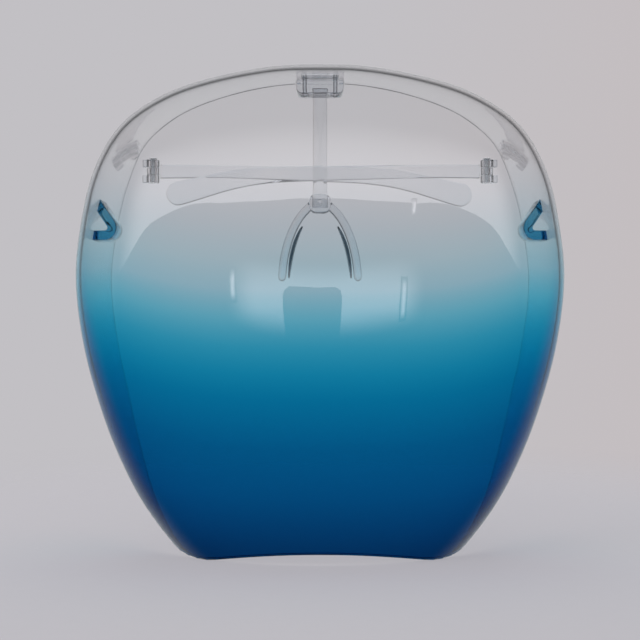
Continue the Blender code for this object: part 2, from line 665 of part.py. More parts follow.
def make_stem(finish):
    """The strip that hangs from the clip, with a hole for the snap pin near its lower end."""
    half = STEM_THICKNESS / 2
    low = (-STEM_HALF_WIDTH, STEM_Y - half, STEM_LOW_Z)
    high = (STEM_HALF_WIDTH, STEM_Y + half, STEM_TOP_Z)
    stem = box("nose_stem", low, high, finish)
    hole = cylinder("stem_hole_tool", SNAP_PIN_RADIUS + CLEARANCE, -5 * MM, 5 * MM)
    hole.rotation_euler = (math.pi / 2, 0, 0)
    hole.location = (0, STEM_Y, SADDLE_CROWN_Z)
    boolean(stem, hole, "DIFFERENCE")
    return stem


def leg_point(share):
    """A point of the saddle's +X leg, from the middle of its crown (0) to its foot (1)."""
    down = SADDLE_CROWN_Z - SADDLE_FEET_Z
    z = SADDLE_CROWN_Z - down * share ** 1.55
    x = SADDLE_FEET_X * (1 - (1 - share) ** 2.1) * (0.82 + 0.18 * share)
    y = STEM_Y + SADDLE_FEET_BACK * share ** 2.2
    return np.array([x, y, z])


def saddle_path():
    shares = np.linspace(0, 1, 15)
    right = [leg_point(s) for s in shares]
    left = [point * np.array([-1, 1, 1]) for point in right[1:]]
    return left[::-1] + right


def make_saddle(finish):
    """The arch over the nose, with a block round the stem's lower end."""
    path = saddle_path()
    ends = np.abs(np.linspace(-1, 1, len(path)))
    taper = np.where(ends > 0.97, 0.62, 1.0)
    widths = SADDLE_LEG_WIDTH * taper
    depths = SADDLE_LEG_DEPTH * (1 + 0.25 * ends) * taper
    saddle = tube("nose_saddle", path, widths, depths, 12, finish)
    half = SADDLE_BLOCK_HALF
    deep = SADDLE_BLOCK_DEPTH / 2
    block_low = (-half, STEM_Y - deep, SADDLE_BLOCK_LOW_Z)
    block_high = (half, STEM_Y + deep, SADDLE_BLOCK_TOP_Z)
    block = box("saddle_block_tool", block_low, block_high)
    bevel(block, SADDLE_BLOCK_ROUNDING, 2, 50)
    boolean(saddle, block, "UNION")
    half_width = STEM_HALF_WIDTH + CLEARANCE
    half_depth = STEM_THICKNESS / 2 + CLEARANCE
    socket_low = (-half_width, STEM_Y - half_depth, STEM_LOW_Z - CLEARANCE)
    socket_high = (half_width, STEM_Y + half_depth, SADDLE_BLOCK_TOP_Z + MM)
    boolean(saddle, box("saddle_socket_tool", socket_low, socket_high), "DIFFERENCE")
    hole = cylinder("saddle_hole_tool", SNAP_PIN_RADIUS + CLEARANCE, -9 * MM, 9 * MM)
    hole.rotation_euler = (math.pi / 2, 0, 0)
    hole.location = (0, STEM_Y, SADDLE_CROWN_Z)
    boolean(saddle, hole, "DIFFERENCE")
    return saddle


def make_snap_pin(finish):
    """The cross pin that keeps the saddle on the stem."""
    half = SADDLE_BLOCK_DEPTH / 2
    pin = cylinder("saddle_snap_pin", SNAP_PIN_RADIUS, -half, half, 20, finish)
    pin.rotation_euler = (math.pi / 2, 0, 0)
    pin.location = (0, STEM_Y, SADDLE_CROWN_Z)
    return pin


def make_pad(side, name, finish):
    """A soft pad along the nose side of one leg."""
    shares = np.linspace(PAD_SPAN[0], PAD_SPAN[1], 11)
    legs = np.array([leg_point(s) for s in shares])
    along = np.gradient(legs, axis=0)
    inward = np.stack([along[:, 2], 0 * along[:, 1], -along[:, 0]], axis=1)
    inward /= np.linalg.norm(inward, axis=1)[:, None]
    gap = SADDLE_LEG_WIDTH / 2 + PAD_THICKNESS / 2 + CLEARANCE
    centres = (legs + inward * gap) * np.array([side, 1, 1])
    centres[:, 1] += PAD_SETBACK
    bulge = np.sqrt(np.clip(1 - np.linspace(-0.93, 0.93, len(shares)) ** 2, 0, 1))
    return tube(name, centres, PAD_THICKNESS * (0.4 + 0.6 * bulge), PAD_DEPTH * bulge, 12, finish)


# --- Assembly ------------------------------------------------------------------------------
def build():
    clear_scene()
    points, quads, rim = lens_surface()
    make_lens(points, quads, rim)
    clear = material("clear_plastic", CLEAR_COLOUR, 0.08, transmission=0.9)
    steel = material("screw_steel", STEEL_COLOUR, 0.25, metallic=1.0)
    soft = material("clear_silicone", PAD_COLOUR, 0.3, transmission=0.6)
    cavity = lens_plug("cavity_tool", points, quads, rim, LENS_THICKNESS + CLEARANCE)
    folded = {
        1: math.radians(90) + LEFT_TEMPLE_TUCK,
        -1: math.radians(90) - RIGHT_TEMPLE_LIFT,
    }
    for side, word in ((1, "left"), (-1, "right")):
        make_end_piece(side, f"{word}_end_piece", cavity, clear)
        make_hinge_screw(side, f"{word}_hinge_screw", steel)
        make_temple(side, f"{word}_temple", folded[side], clear)
        make_clip_peg(side, f"{word}_clip_peg", clear)
        make_pad(side, f"{word}_nose_pad", soft)
    make_clip(clear)
    make_stem(clear)
    make_saddle(clear)
    make_snap_pin(clear)
    for item in bpy.data.objects:
        if item.parent is None:
            item.location.y -= OVERALL_DEPTH / 2
            item.location.z += LIFT


build()
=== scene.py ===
"""Full-face visor glasses: final meshes, materials, floor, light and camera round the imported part.

Frame: metres, +Z up, the wearer faces -Y and their left is +X. The lens formulas measure Y back
from the foremost point of the lens, and Z from a level LIFT above the floor. Both temples are
folded at rest.
"""

import json
import math

import bmesh
import bpy
import numpy as np
from mathutils import Matrix, Vector


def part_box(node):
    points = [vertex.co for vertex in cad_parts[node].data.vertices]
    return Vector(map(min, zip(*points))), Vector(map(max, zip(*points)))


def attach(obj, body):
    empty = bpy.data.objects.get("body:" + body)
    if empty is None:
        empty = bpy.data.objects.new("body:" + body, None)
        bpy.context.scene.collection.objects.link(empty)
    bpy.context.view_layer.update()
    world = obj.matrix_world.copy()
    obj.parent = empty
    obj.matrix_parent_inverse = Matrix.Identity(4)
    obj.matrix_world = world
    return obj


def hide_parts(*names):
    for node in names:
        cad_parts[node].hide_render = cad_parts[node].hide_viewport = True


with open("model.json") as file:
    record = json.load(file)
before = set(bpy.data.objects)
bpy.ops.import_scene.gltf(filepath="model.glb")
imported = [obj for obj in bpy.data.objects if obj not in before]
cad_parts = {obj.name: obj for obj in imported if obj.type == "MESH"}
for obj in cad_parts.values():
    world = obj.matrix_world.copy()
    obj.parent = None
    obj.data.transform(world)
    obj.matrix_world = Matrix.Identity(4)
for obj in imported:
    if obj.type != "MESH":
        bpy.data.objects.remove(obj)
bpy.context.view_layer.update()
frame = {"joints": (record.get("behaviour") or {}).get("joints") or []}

MM = 0.001
LENS_LOW, LENS_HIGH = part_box("visor_lens")
FRONT_Y = LENS_LOW.y
LIFT = 3.56 * MM
HINGES = {j["child"]: Vector(j["pos_m"]) for j in frame["joints"]}
SIDES = ((1, "left"), (-1, "right"))

# --- Lens shape ----------------------------------------------------------------------------
LENS_CENTRE_Z = 100 * MM
LENS_OUTLINE = [
    (0, 195.6), (20, 194.8), (45, 190.0), (65, 182.8), (82, 170.5), (92.7, 151.4),
    (98, 128), (99.6, 106), (96.2, 80), (89.6, 56), (82, 36), (71.6, 16),
    (56, -4), (39, -19), (20, -29), (0, -33),
]
OUTLINE_SMOOTHING = math.radians(5)
LENS_THICKNESS = 2.2 * MM
DOME_DEPTH = 34 * MM
DOME_POWER_OUT = 2.3
DOME_POWER_BACK = 2.3
WALL_DRAFT = 1.2 * MM
WALL_DRAFT_RUN = 60 * MM
WALL_DEPTHS = [
    (0, 22), (20, 25), (35, 32), (47, 42), (57, 55), (66, 58), (100, 57), (115, 51),
    (126, 39), (134, 25), (140, 12), (146, 1), (152, -6), (180, -6),
]
WALL_SMOOTHING = math.radians(6)
CHIN_LOW_Z = -3.9 * MM
CHIN_ARCH = 4 * MM
CHIN_ARCH_HALF = 44 * MM
RIM_CORNER = 10 * MM
RIM_ROUNDING = 0.7 * MM
DOME_STEPS = 1200
RIM_STEPS = 500
TURN_STEPS = 1440
GRID_SIDE = 52
GRID_HALF = 0.36
DOME_RINGS = 30
WALL_RINGS = 18
RING_SPLIT = 0.86

RIB_TOP = (99 * MM, 147.2 * MM)
RIB_CORNER = (84.4 * MM, 127.2 * MM)
RIB_THICKNESS = 4 * MM
RIB_FRONT_Y = 46 * MM
RIB_BACK_Y = 60 * MM
RIB_CORNER_RADIUS = 3.2 * MM
RIB_ROOTING = 0.9 * MM        # how near to the outer surface a rib's root may come
NOTCH_SPAN = (53 * MM, 73 * MM)

# --- Small parts ---------------------------------------------------------------------------
CLEARANCE = 0.3 * MM
KNUCKLE_RADIUS = 2.9 * MM
KNUCKLE_HEIGHT = 3.3 * MM
BLOCK_REACH = 110 * MM        # beyond the wall, for the cavity to trim
PIN_RADIUS = 0.85 * MM
PIN_HEAD_RADIUS = 1.9 * MM
PIN_HEAD_HEIGHT = 0.9 * MM
TEMPLE_LENGTH = 146.5 * MM
TEMPLE_THICKNESS = 2.6 * MM
TEMPLE_ROOT = 3.5 * MM
TEMPLE_DROPS = [(0, 0), (25, 0), (60, 0.7), (98, 1.7), (115, 3.6), (130, 7.6), (146.5, 12)]
TEMPLE_HALF_HEIGHTS = [(0, 3.2), (25, 3.0), (60, 3.2), (98, 3.6), (115, 4.2), (132, 5.0), (146.5, 5.6)]
TEMPLE_SMOOTHING = 9 * MM
TEMPLE_LEAN = math.radians(1.15)
PEG_SHANK = 0.75 * MM
SADDLE_CROWN_Z = LIFT + 142 * MM
SADDLE_FEET_Z = LIFT + 108.4 * MM
SADDLE_FEET_X = 16.6 * MM
SADDLE_FEET_BACK = 8 * MM
SADDLE_WIDTH = 3.6 * MM
SADDLE_DEPTH = 3.4 * MM
SADDLE_BLOCK_HALF = (4.6 * MM, 2.8 * MM)
SADDLE_BLOCK_DOWN = 5 * MM
SADDLE_BLOCK_UP = 3.4 * MM
PAD_SPAN = (0.42, 0.97)       # shares of a leg's length
PAD_THICKNESS = 1.9 * MM
PAD_DEPTH = 8.4 * MM
PAD_GAP = 0.2 * MM
PAD_SET_BACK = 1.2 * MM

# --- Colours -------------------------------------------------------------------------------
# Light that passes the lens at heights above the chin (mm), as linear red, green and blue.
LENS_TINT = [
    (0, (0.0016, 0.062, 0.215)), (12, (0.0014, 0.090, 0.285)), (26, (0.0010, 0.130, 0.362)),
    (45, (0.0010, 0.176, 0.430)), (64, (0.0024, 0.292, 0.575)), (74, (0.0110, 0.400, 0.680)),
    (84, (0.0480, 0.520, 0.770)), (95, (0.200, 0.690, 0.880)), (106, (0.480, 0.800, 0.920)),
    (117, (0.640, 0.855, 0.925)), (130, (0.780, 0.880, 0.925)), (140, (0.885, 0.925, 0.950)),
    (150, (0.955, 0.965, 0.975)), (162, (0.985, 0.988, 0.990)),
]
TINT_IN_VOLUME = 0.35         # share of the tint that deepens with the length of the path
WALL_TINT = 0.2               # how strong the tint of the side walls is, next to the front's
RIB_SHADE = (0.62, 0.70, 0.74, 1)
RIB_DEEPER = 14 * MM           # the ribs are as dark as the lens this much further down
TINT_CURVE = 21               # how fast the tint climbs towards the sides
TINT_CURVE_END = 78 * MM      # no further climb beyond this distance from the middle
TINT_FADE = (22 * MM, 52 * MM)     # where the front's tint gives way to the walls'
PAINTED_WALL_SHEEN = 0.12              # painted sheen: share of a matt, lit layer on the side walls that stands in for reflected light
# The painted sheen on the walls comes in over the first span back from the front, and thins to the last
# share between the two heights.
PAINTED_SHEEN_FADE = (14 * MM, 40 * MM)
PAINTED_SHEEN_HEIGHTS = (110 * MM, 150 * MM)
PAINTED_SHEEN_LEFT_ABOVE = 0.15

# --- Stage ---------------------------------------------------------------------------------
DARK_ROOM = (0.012, 0.012, 0.015, 1)
SIDE_SHEEN = (0.70, 0.70, 0.72, 1)     # what reflections see beside and behind the object
SOFT_LIGHT = (0.40, 0.395, 0.41, 1)    # what matt surfaces see of the room
BACKDROP_EDGE = (0.44, 0.93)  # cosine from straight ahead: dark below the first, pale above the last
SHEEN_EDGE = (-0.2, 0.55)
DARKER_ABOVE = 0.15
BACKGROUND_RIGHT = (0.552, 0.512, 0.524)
FLOOR_FADE = (0.16, 0.42)
FLOOR_RADIUS = 0.6
FLOOR_LEVEL = -0.2 * MM
CARD_DISTANCE = 616 * MM      # the softboxes stand this far before the lens
CARD_STRENGTH = 3.3
LAMP_STRENGTH = 1.8
STRIP_STRENGTH = 5.0
STRIP_HALF_WIDTH = 10 * MM
ARCH_HEIGHT = 0.358
ARCH_DROP = 0.20
UPPER_TOP = 0.88
CAMERA_DISTANCE = 0.416
CAMERA_HEIGHT = 0.0915
CAMERA_LENS = 61.74
BACKGROUND = (0.539, 0.527, 0.552)
FLOOR_GLOW = (0.50, 0.487, 0.52, 1)
FLOOR_GLOW_SHARE = 0.72


# --- Mesh helpers --------------------------------------------------------------------------
def put_in_scene(name, data):
    made = bpy.data.objects.new(name, data)
    bpy.context.scene.collection.objects.link(made)
    return made


def band(first, second):
    """Quads between two closed loops of point numbers."""
    pairs = [(step, (step + 1) % len(first)) for step in range(len(first))]
    return [(first[here], first[after], second[after], second[here]) for here, after in pairs]


def new_piece(name, points, faces, finish=None, crease=38):
    mesh = bpy.data.meshes.new(name)
    mesh.from_pydata([tuple(map(float, p)) for p in points], [], faces)
    mesh.validate()
    shaped = bmesh.new()
    shaped.from_mesh(mesh)
    bmesh.ops.recalc_face_normals(shaped, faces=shaped.faces)
    shaped.to_mesh(mesh)
    shaped.free()
    made = put_in_scene(name, mesh)
    if finish is not None:
        mesh.materials.append(finish)
    soften(made, crease)
    return made


def soften(piece, crease):
    piece.data.shade_smooth()
    piece.data.set_sharp_from_angle(angle=math.radians(crease))


def combine(target, tool, operation, crease=38):
    """Joins, cuts or limits a mesh with another one, and removes that one."""
    change = target.modifiers.new("combine", "BOOLEAN")
    change.object = tool
    change.operation = operation
    change.solver = "EXACT"
    change.material_mode = "TRANSFER"
    graph = bpy.context.evaluated_depsgraph_get()
    shaped = bpy.data.meshes.new_from_object(target.evaluated_get(graph))
    target.modifiers.clear()
    target.data = shaped
    bpy.data.objects.remove(tool)
    soften(target, crease)


def place(piece, location, turn=0.0):
    """Moves a mesh into the frame, so that its object stays at the origin."""
    piece.data.transform(Matrix.Translation(location) @ Matrix.Rotation(turn, 4, "Z"))


def offset_loop(outline, inward):
    """A closed loop of 2-D points moved towards its inside, corners mitred."""
    points = np.array(outline, float)
    before = points - np.roll(points, 1, axis=0)
    after = np.roll(points, -1, axis=0) - points
    before /= np.linalg.norm(before, axis=1)[:, None]
    after /= np.linalg.norm(after, axis=1)[:, None]
    normal = np.stack([-(before + after)[:, 1], (before + after)[:, 0]], axis=1)
    normal /= np.linalg.norm(normal, axis=1)[:, None]
    mitre = np.clip((normal * np.stack([-after[:, 1], after[:, 0]], axis=1)).sum(1), 0.5, 1)
    area = (points[:, 0] * np.roll(points[:, 1], -1) - np.roll(points[:, 0], -1) * points[:, 1]).sum()
    return points + normal * (inward / mitre * (1 if area > 0 else -1))[:, None]


def rounded_ends(radius, low, high, steps=4):
    """Pairs of (distance inward, level) round a solid's low edge, then round its high one."""
    turns = np.linspace(0, math.pi / 2, steps + 1)
    start = [(radius * (1 - math.sin(t)), low + radius * (1 - math.cos(t))) for t in turns]
    return start + [(radius * (1 - math.sin(t)), high - radius * (1 - math.cos(t))) for t in turns[::-1]]


def plate(name, outline, low, high, radius, lift, finish=None, steps=4):
    """A flat plate of a 2-D outline with rounded edges. lift(u, v, w) gives each 3-D point."""
    points, faces = [], []
    count = len(outline)
    for inward, level in rounded_ends(radius, low, high, steps):
        points += [lift(u, v, level) for u, v in offset_loop(outline, inward)]
    for here in range(0, len(points) - count, count):
        faces += band(range(here, here + count), range(here + count, here + 2 * count))
    faces.append(tuple(range(count)))
    faces.append(tuple(range(len(points) - count, len(points))))
    return new_piece(name, points, faces, finish)


def rounded_box(name, low, high, radius, finish=None, corner=None):
    """A box whose sides along Y are rounded by corner and whose other edges by radius."""
    corner = corner or radius * 1.5
    corners = [(low[0], low[2]), (high[0], low[2]), (high[0], high[2]), (low[0], high[2])]
    outline = round_corners(corners, corner)
    return plate(name, outline, low[1], high[1], radius, lambda u, v, w: (u, w, v), finish)


def round_corners(corners, radius, steps=6):
    """A polygon with each corner replaced by a short arc. A corner may carry its own radius."""
    out = []
    count = len(corners)
    for i, corner in enumerate(corners):
        here = np.array(corner[:2], float)
        back = np.array(corners[i - 1][:2], float) - here
        ahead = np.array(corners[(i + 1) % count][:2], float) - here
        reach = corner[2] if len(corner) > 2 else radius
        back_unit, ahead_unit = back / np.linalg.norm(back), ahead / np.linalg.norm(ahead)
        half = math.acos(float(np.clip(back_unit @ ahead_unit, -1, 1))) / 2
        if reach <= 0 or half > math.radians(88):
            out.append(tuple(here))
            continue
        cut = min(reach / math.tan(half), 0.48 * np.linalg.norm(back), 0.48 * np.linalg.norm(ahead))
        start, stop = here + back_unit * cut, here + ahead_unit * cut
        for t in np.linspace(0, 1, steps + 1):
            bulge = (1 - t) ** 2 * start + 2 * t * (1 - t) * here + t ** 2 * stop
            out.append(tuple(bulge))
    return out


def turned(name, profile, segments=48, finish=None):
    """A solid of revolution about Z from (radius, z) points that start and end on the axis."""
    points = [(0, 0, profile[0][1])]
    faces = []
    rings = profile[1:-1]
    for radius, z in rings:
        for step in range(segments):
            turn = 2 * math.pi * step / segments
            points.append((radius * math.cos(turn), radius * math.sin(turn), z))
    points.append((0, 0, profile[-1][1]))
    last = len(points) - 1
    top = 1 + (len(rings) - 1) * segments
    for step in range(segments):
        after = (step + 1) % segments
        faces.append((0, 1 + after, 1 + step))
        faces.append((last, top + step, top + after))
        for ring in range(len(rings) - 1):
            low = 1 + ring * segments
            high = low + segments
            faces.append((low + step, low + after, high + after, high + step))
    return new_piece(name, points, faces, finish)


def rounded_cylinder(name, radius, low, high, edge=0.0, segments=48, finish=None):
    profile = [(0, low)]
    if edge > 0:
        profile += [(radius - inward, level) for inward, level in rounded_ends(edge, low, high)]
    else:
        profile += [(radius, low), (radius, high)]
    return turned(name, profile + [(0, high)], segments, finish)


# --- Lens surface --------------------------------------------------------------------------
def periodic_smooth(values, half_width):
    reach = max(1, round(half_width / (2 * math.pi) * len(values)))
    weights = np.hanning(2 * reach + 3)[1:-1]
    padded = np.concatenate([values[-reach:], values, values[:reach]])
    return np.convolve(padded, weights / weights.sum(), "valid")


def catmull_rom(points, steps=24):
    """A smooth curve through half an outline, mirrored at both of its ends."""
    mirrored = np.array([(-1, 1)])
    points = np.array(points, float)
    chain = np.vstack([points[1] * mirrored, points, points[-2] * mirrored])
    out = []
    for before, start, stop, after in zip(chain, chain[1:], chain[2:], chain[3:]):
        for t in np.linspace(0, 1, steps, endpoint=False):
            out.append(0.5 * (
                2 * start + (stop - before) * t
                + (2 * before - 5 * start + 4 * stop - after) * t ** 2
                + (3 * start - 3 * stop + after - before) * t ** 3
            ))
    out.append(points[-1])
    return np.array(out)


def turn_table():
    turns = np.linspace(-math.pi, math.pi, TURN_STEPS, endpoint=False)
    curve = catmull_rom(LENS_OUTLINE) * MM
    angle = np.arctan2(curve[:, 0], curve[:, 1] - LENS_CENTRE_Z)
    reach = np.hypot(curve[:, 0], curve[:, 1] - LENS_CENTRE_Z)
    radius = np.interp(np.abs(turns), angle, reach)
    knots = np.array(WALL_DEPTHS, float)
    depth = np.interp(np.degrees(np.abs(turns)), knots[:, 0], knots[:, 1]) * MM
    return turns, periodic_smooth(radius, OUTLINE_SMOOTHING), periodic_smooth(depth, WALL_SMOOTHING)


TURNS, OUTLINE_RADIUS, WALL_DEPTH = turn_table()


def at_turn(table, turn):
    return np.interp(turn, TURNS, table, period=2 * math.pi)


def dome_profile():
    out = np.sin(np.linspace(0, math.pi / 2, DOME_STEPS))
    back = 1 - (1 - out ** DOME_POWER_OUT) ** (1 / DOME_POWER_BACK)
    steps = np.hypot(np.diff(out) * OUTLINE_RADIUS.mean(), np.diff(back) * DOME_DEPTH)
    run = np.concatenate([[0], np.cumsum(steps)])
    even = np.linspace(0, run[-1], DOME_STEPS)
    return np.interp(even, run, out), np.interp(even, run, back), run[-1]


DOME_OUT, DOME_BACK, DOME_RUN = dome_profile()


def on_surface(turn, reach):
    spread = np.linspace(0, 1, DOME_STEPS)
    radius = at_turn(OUTLINE_RADIUS, turn)
    behind = np.clip(reach - 1, 0, None) * DOME_RUN
    out = np.interp(reach, spread, DOME_OUT) * radius - WALL_DRAFT * (behind / WALL_DRAFT_RUN) ** 2
    back = np.interp(reach, spread, DOME_BACK) * DOME_DEPTH + behind
    return np.stack([out * np.sin(turn), back, LENS_CENTRE_Z + out * np.cos(turn)], axis=-1)


def smooth_min(a, b, blend):
    share = np.clip(0.5 + 0.5 * (b - a) / blend, 0, 1)
    return b + (a - b) * share - blend * share * (1 - share)


def rim_reach(turn):
    end = 1 + at_turn(WALL_DEPTH, turn) / DOME_RUN
    reach = np.linspace(0.2, end, RIM_STEPS)
    line = on_surface(np.full(RIM_STEPS, turn), reach)
    arch = CHIN_ARCH * np.clip(1 - (line[:, 0] / CHIN_ARCH_HALF) ** 2, 0, 1)
    room = smooth_min((end - reach) * DOME_RUN, line[:, 2] - CHIN_LOW_Z - arch, RIM_CORNER)
    outside = np.flatnonzero(room <= 0)
    if len(outside) == 0:
        return end
    return float(np.interp(0, [room[outside[0]], room[outside[0] - 1]],
                           [reach[outside[0]], reach[outside[0] - 1]]))


def flat_rim(count):
    turns = np.linspace(-math.pi, math.pi, TURN_STEPS + 1)
    reach = np.array([rim_reach(turn) for turn in turns])
    flat = np.column_stack([reach * np.sin(turns), reach * np.cos(turns)])
    run = np.concatenate([[0], np.cumsum(np.linalg.norm(np.diff(flat, axis=0), axis=1))])
    even = np.linspace(0, run[-1], count + 1)[:-1]
    return np.column_stack([np.interp(even, run, flat[:, axis]) for axis in (0, 1)])


def flat_middle(turns):
    size = (np.sin(turns) ** 4 + np.cos(turns) ** 4) ** 0.25
    edge = np.column_stack([np.sin(turns), np.cos(turns)]) * (GRID_HALF / size)[:, None]
    half, last = GRID_SIDE // 2, GRID_SIDE
    loop = [(0, c) for c in range(half, 0, -1)] + [(r, 0) for r in range(last)]
    loop += [(last, c) for c in range(last)] + [(r, last) for r in range(last, 0, -1)]
    loop += [(0, c) for c in range(last, half, -1)]
    at = dict(zip(loop, edge))
    for row in range(1, last):
        for column in range(1, last):
            u, v = column / last, row / last
            across = (1 - u) * at[row, 0] + u * at[row, last]
            up = (1 - v) * at[0, column] + v * at[last, column]
            low = (1 - u) * at[0, 0] + u * at[0, last]
            high = (1 - u) * at[last, 0] + u * at[last, last]
            at[row, column] = across + up - (1 - v) * low - v * high
    return at, loop


def ring_reaches(start, stop):
    split = np.minimum(1, start + (stop - start) * RING_SPLIT)
    rows = [start + (split - start) * k / DOME_RINGS for k in range(1, DOME_RINGS + 1)]
    return rows + [split + (stop - split) * k / WALL_RINGS for k in range(1, WALL_RINGS + 1)]


def lens_surface():
    """Points, quads and the rim loop of the outer surface, in the frame."""
    rim = flat_rim(4 * GRID_SIDE)
    turns = np.arctan2(rim[:, 0], rim[:, 1])
    at, loop = flat_middle(turns)
    index = {spot: i for i, spot in enumerate(at)}
    flat = list(at.values())
    quads = []
    for row in range(GRID_SIDE):
        for column in range(GRID_SIDE):
            corners = [(row, column), (row, column + 1), (row + 1, column + 1), (row + 1, column)]
            quads.append(tuple(index[corner] for corner in corners))
    inner = [index[spot] for spot in loop]
    start = np.hypot(*np.array([at[spot] for spot in loop]).T)
    for reaches in ring_reaches(start, np.hypot(*rim.T)):
        outer = list(range(len(flat), len(flat) + len(inner)))
        flat.extend(np.column_stack([np.sin(turns), np.cos(turns)]) * reaches[:, None])
        quads += band(inner, outer)
        inner = outer
    flat = np.array(flat)
    points = on_surface(np.arctan2(flat[:, 0], flat[:, 1]), np.hypot(flat[:, 0], flat[:, 1]))
    points += np.array([0, FRONT_Y, LIFT])
    return points, quads, inner


def surface_normals(points, quads):
    quads = np.array(quads)
    facing = np.cross(points[quads[:, 2]] - points[quads[:, 0]], points[quads[:, 3]] - points[quads[:, 1]])
    normals = np.zeros_like(points)
    for column in range(4):
        np.add.at(normals, quads[:, column], facing)
    normals /= np.linalg.norm(normals, axis=1)[:, None]
    middle = np.argmin(points[:, 1])
    return normals if normals[middle, 1] < 0 else -normals


def lens_shell(points, quads, rim, finish):
    """The shell with its edge rounded over where the outer and inner surfaces meet."""
    normals = surface_normals(points, quads)
    inside = points - normals * LENS_THICKNESS
    edge = points[rim]
    along = np.roll(edge, -1, axis=0) - np.roll(edge, 1, axis=0)
    outward = np.cross(normals[rim], along)
    outward /= np.linalg.norm(outward, axis=1)[:, None]
    middle = points.mean(axis=0) * np.array([1, 0, 1])
    away = ((edge - middle) * outward).sum(axis=1) + outward[:, 1] * 0.05
    outward *= np.where(np.median(away) > 0, 1, -1)
    outer, inner = points.copy(), inside.copy()
    outer[rim] -= outward * RIM_ROUNDING
    inner[rim] -= outward * RIM_ROUNDING
    count = len(points)
    faces = list(quads) + [tuple(count + i for i in reversed(quad)) for quad in quads]
    loops = [list(rim)]
    extra = []
    for share in (1 - np.cos(np.pi * np.arange(1, 8) / 8)) / 2:
        bulge = RIM_ROUNDING * (1 - abs(2 * share - 1) ** 2.6)
        ring = edge * (1 - share) + inside[rim] * share + outward * (bulge - RIM_ROUNDING)
        loops.append(list(range(2 * count + len(extra), 2 * count + len(extra) + len(rim))))
        extra.extend(ring)
    loops.append([count + i for i in rim])
    for first, second in zip(loops, loops[1:]):
        faces += band(first, second)
    return new_piece("lens_shell", np.vstack([outer, inner, extra]), faces, finish, 50)


def lens_plug(name, points, quads, rim, inset):
    """A closed solid that fills the lens up to a given distance inside its outer surface."""
    inside = points - surface_normals(points, quads) * inset
    back = inside[rim].copy()
    back[:, 1] = LENS_HIGH.y + 40 * MM
    end = range(len(inside), len(inside) + len(rim))
    faces = list(quads) + band(rim, end) + [tuple(end)]
    return new_piece(name, np.vstack([inside, back]), faces)


def rib_edge(shift):
    start, corner = np.array(RIB_TOP), np.array(RIB_CORNER)
    down = (corner - start) / np.linalg.norm(corner - start)
    normal = np.array([-down[1], down[0]])
    opening = math.acos(-down[0])
    first = corner - down * RIB_CORNER_RADIUS / math.tan(opening / 2)
    centre = first + normal * RIB_CORNER_RADIUS
    from_down = math.atan2(-normal[1], -normal[0]) % (2 * math.pi)
    turns = np.linspace(from_down, 1.5 * math.pi, 14)
    reach = RIB_CORNER_RADIUS - shift
    bend = [(centre[0] + reach * math.cos(t), centre[1] + reach * math.sin(t)) for t in turns]
    return [tuple(start + normal * shift)] + bend + [(RIB_TOP[0], corner[1] + shift)]


def make_lens(points, quads, rim, finish, rib_finish):
    lens = lens_shell(points, quads, rim, finish)
    half = RIB_THICKNESS / 2
    outline = rib_edge(-half) + rib_edge(half)[::-1]
    low, high = FRONT_Y + RIB_FRONT_Y, FRONT_Y + RIB_BACK_Y
    for side, _ in SIDES:
        rib = plate("rib", outline, low, high, 0.5 * MM,
                    lambda u, v, w, s=side: (s * u, w, v + LIFT), rib_finish)
        combine(rib, lens_plug("plug", points, quads, rim, RIB_ROOTING), "INTERSECT")
        combine(lens, rib, "UNION", 50)
    clip_low, clip_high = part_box("bridge_clip")
    notch_half = clip_high.x + 0.4 * MM
    notch_low = (-notch_half, FRONT_Y + NOTCH_SPAN[0], clip_low.z)
    notch_high = (notch_half, FRONT_Y + NOTCH_SPAN[1], clip_high.z)
    combine(lens, rounded_box("notch", notch_low, notch_high, 0.6 * MM), "DIFFERENCE", 50)
    for _, word in SIDES:
        hole = rounded_cylinder("hole", PEG_SHANK + 0.15 * MM, clip_low.z, clip_high.z)
        place(hole, (*peg_centre(word), 0))
        combine(lens, hole, "DIFFERENCE", 50)
    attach(lens, "visor")
    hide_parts("visor_lens")


# --- Hinges and temples --------------------------------------------------------------------
def knuckle_heights():
    pitch = KNUCKLE_HEIGHT + CLEARANCE
    return [(k * pitch - KNUCKLE_HEIGHT / 2, k * pitch + KNUCKLE_HEIGHT / 2) for k in (-1, 0, 1)]


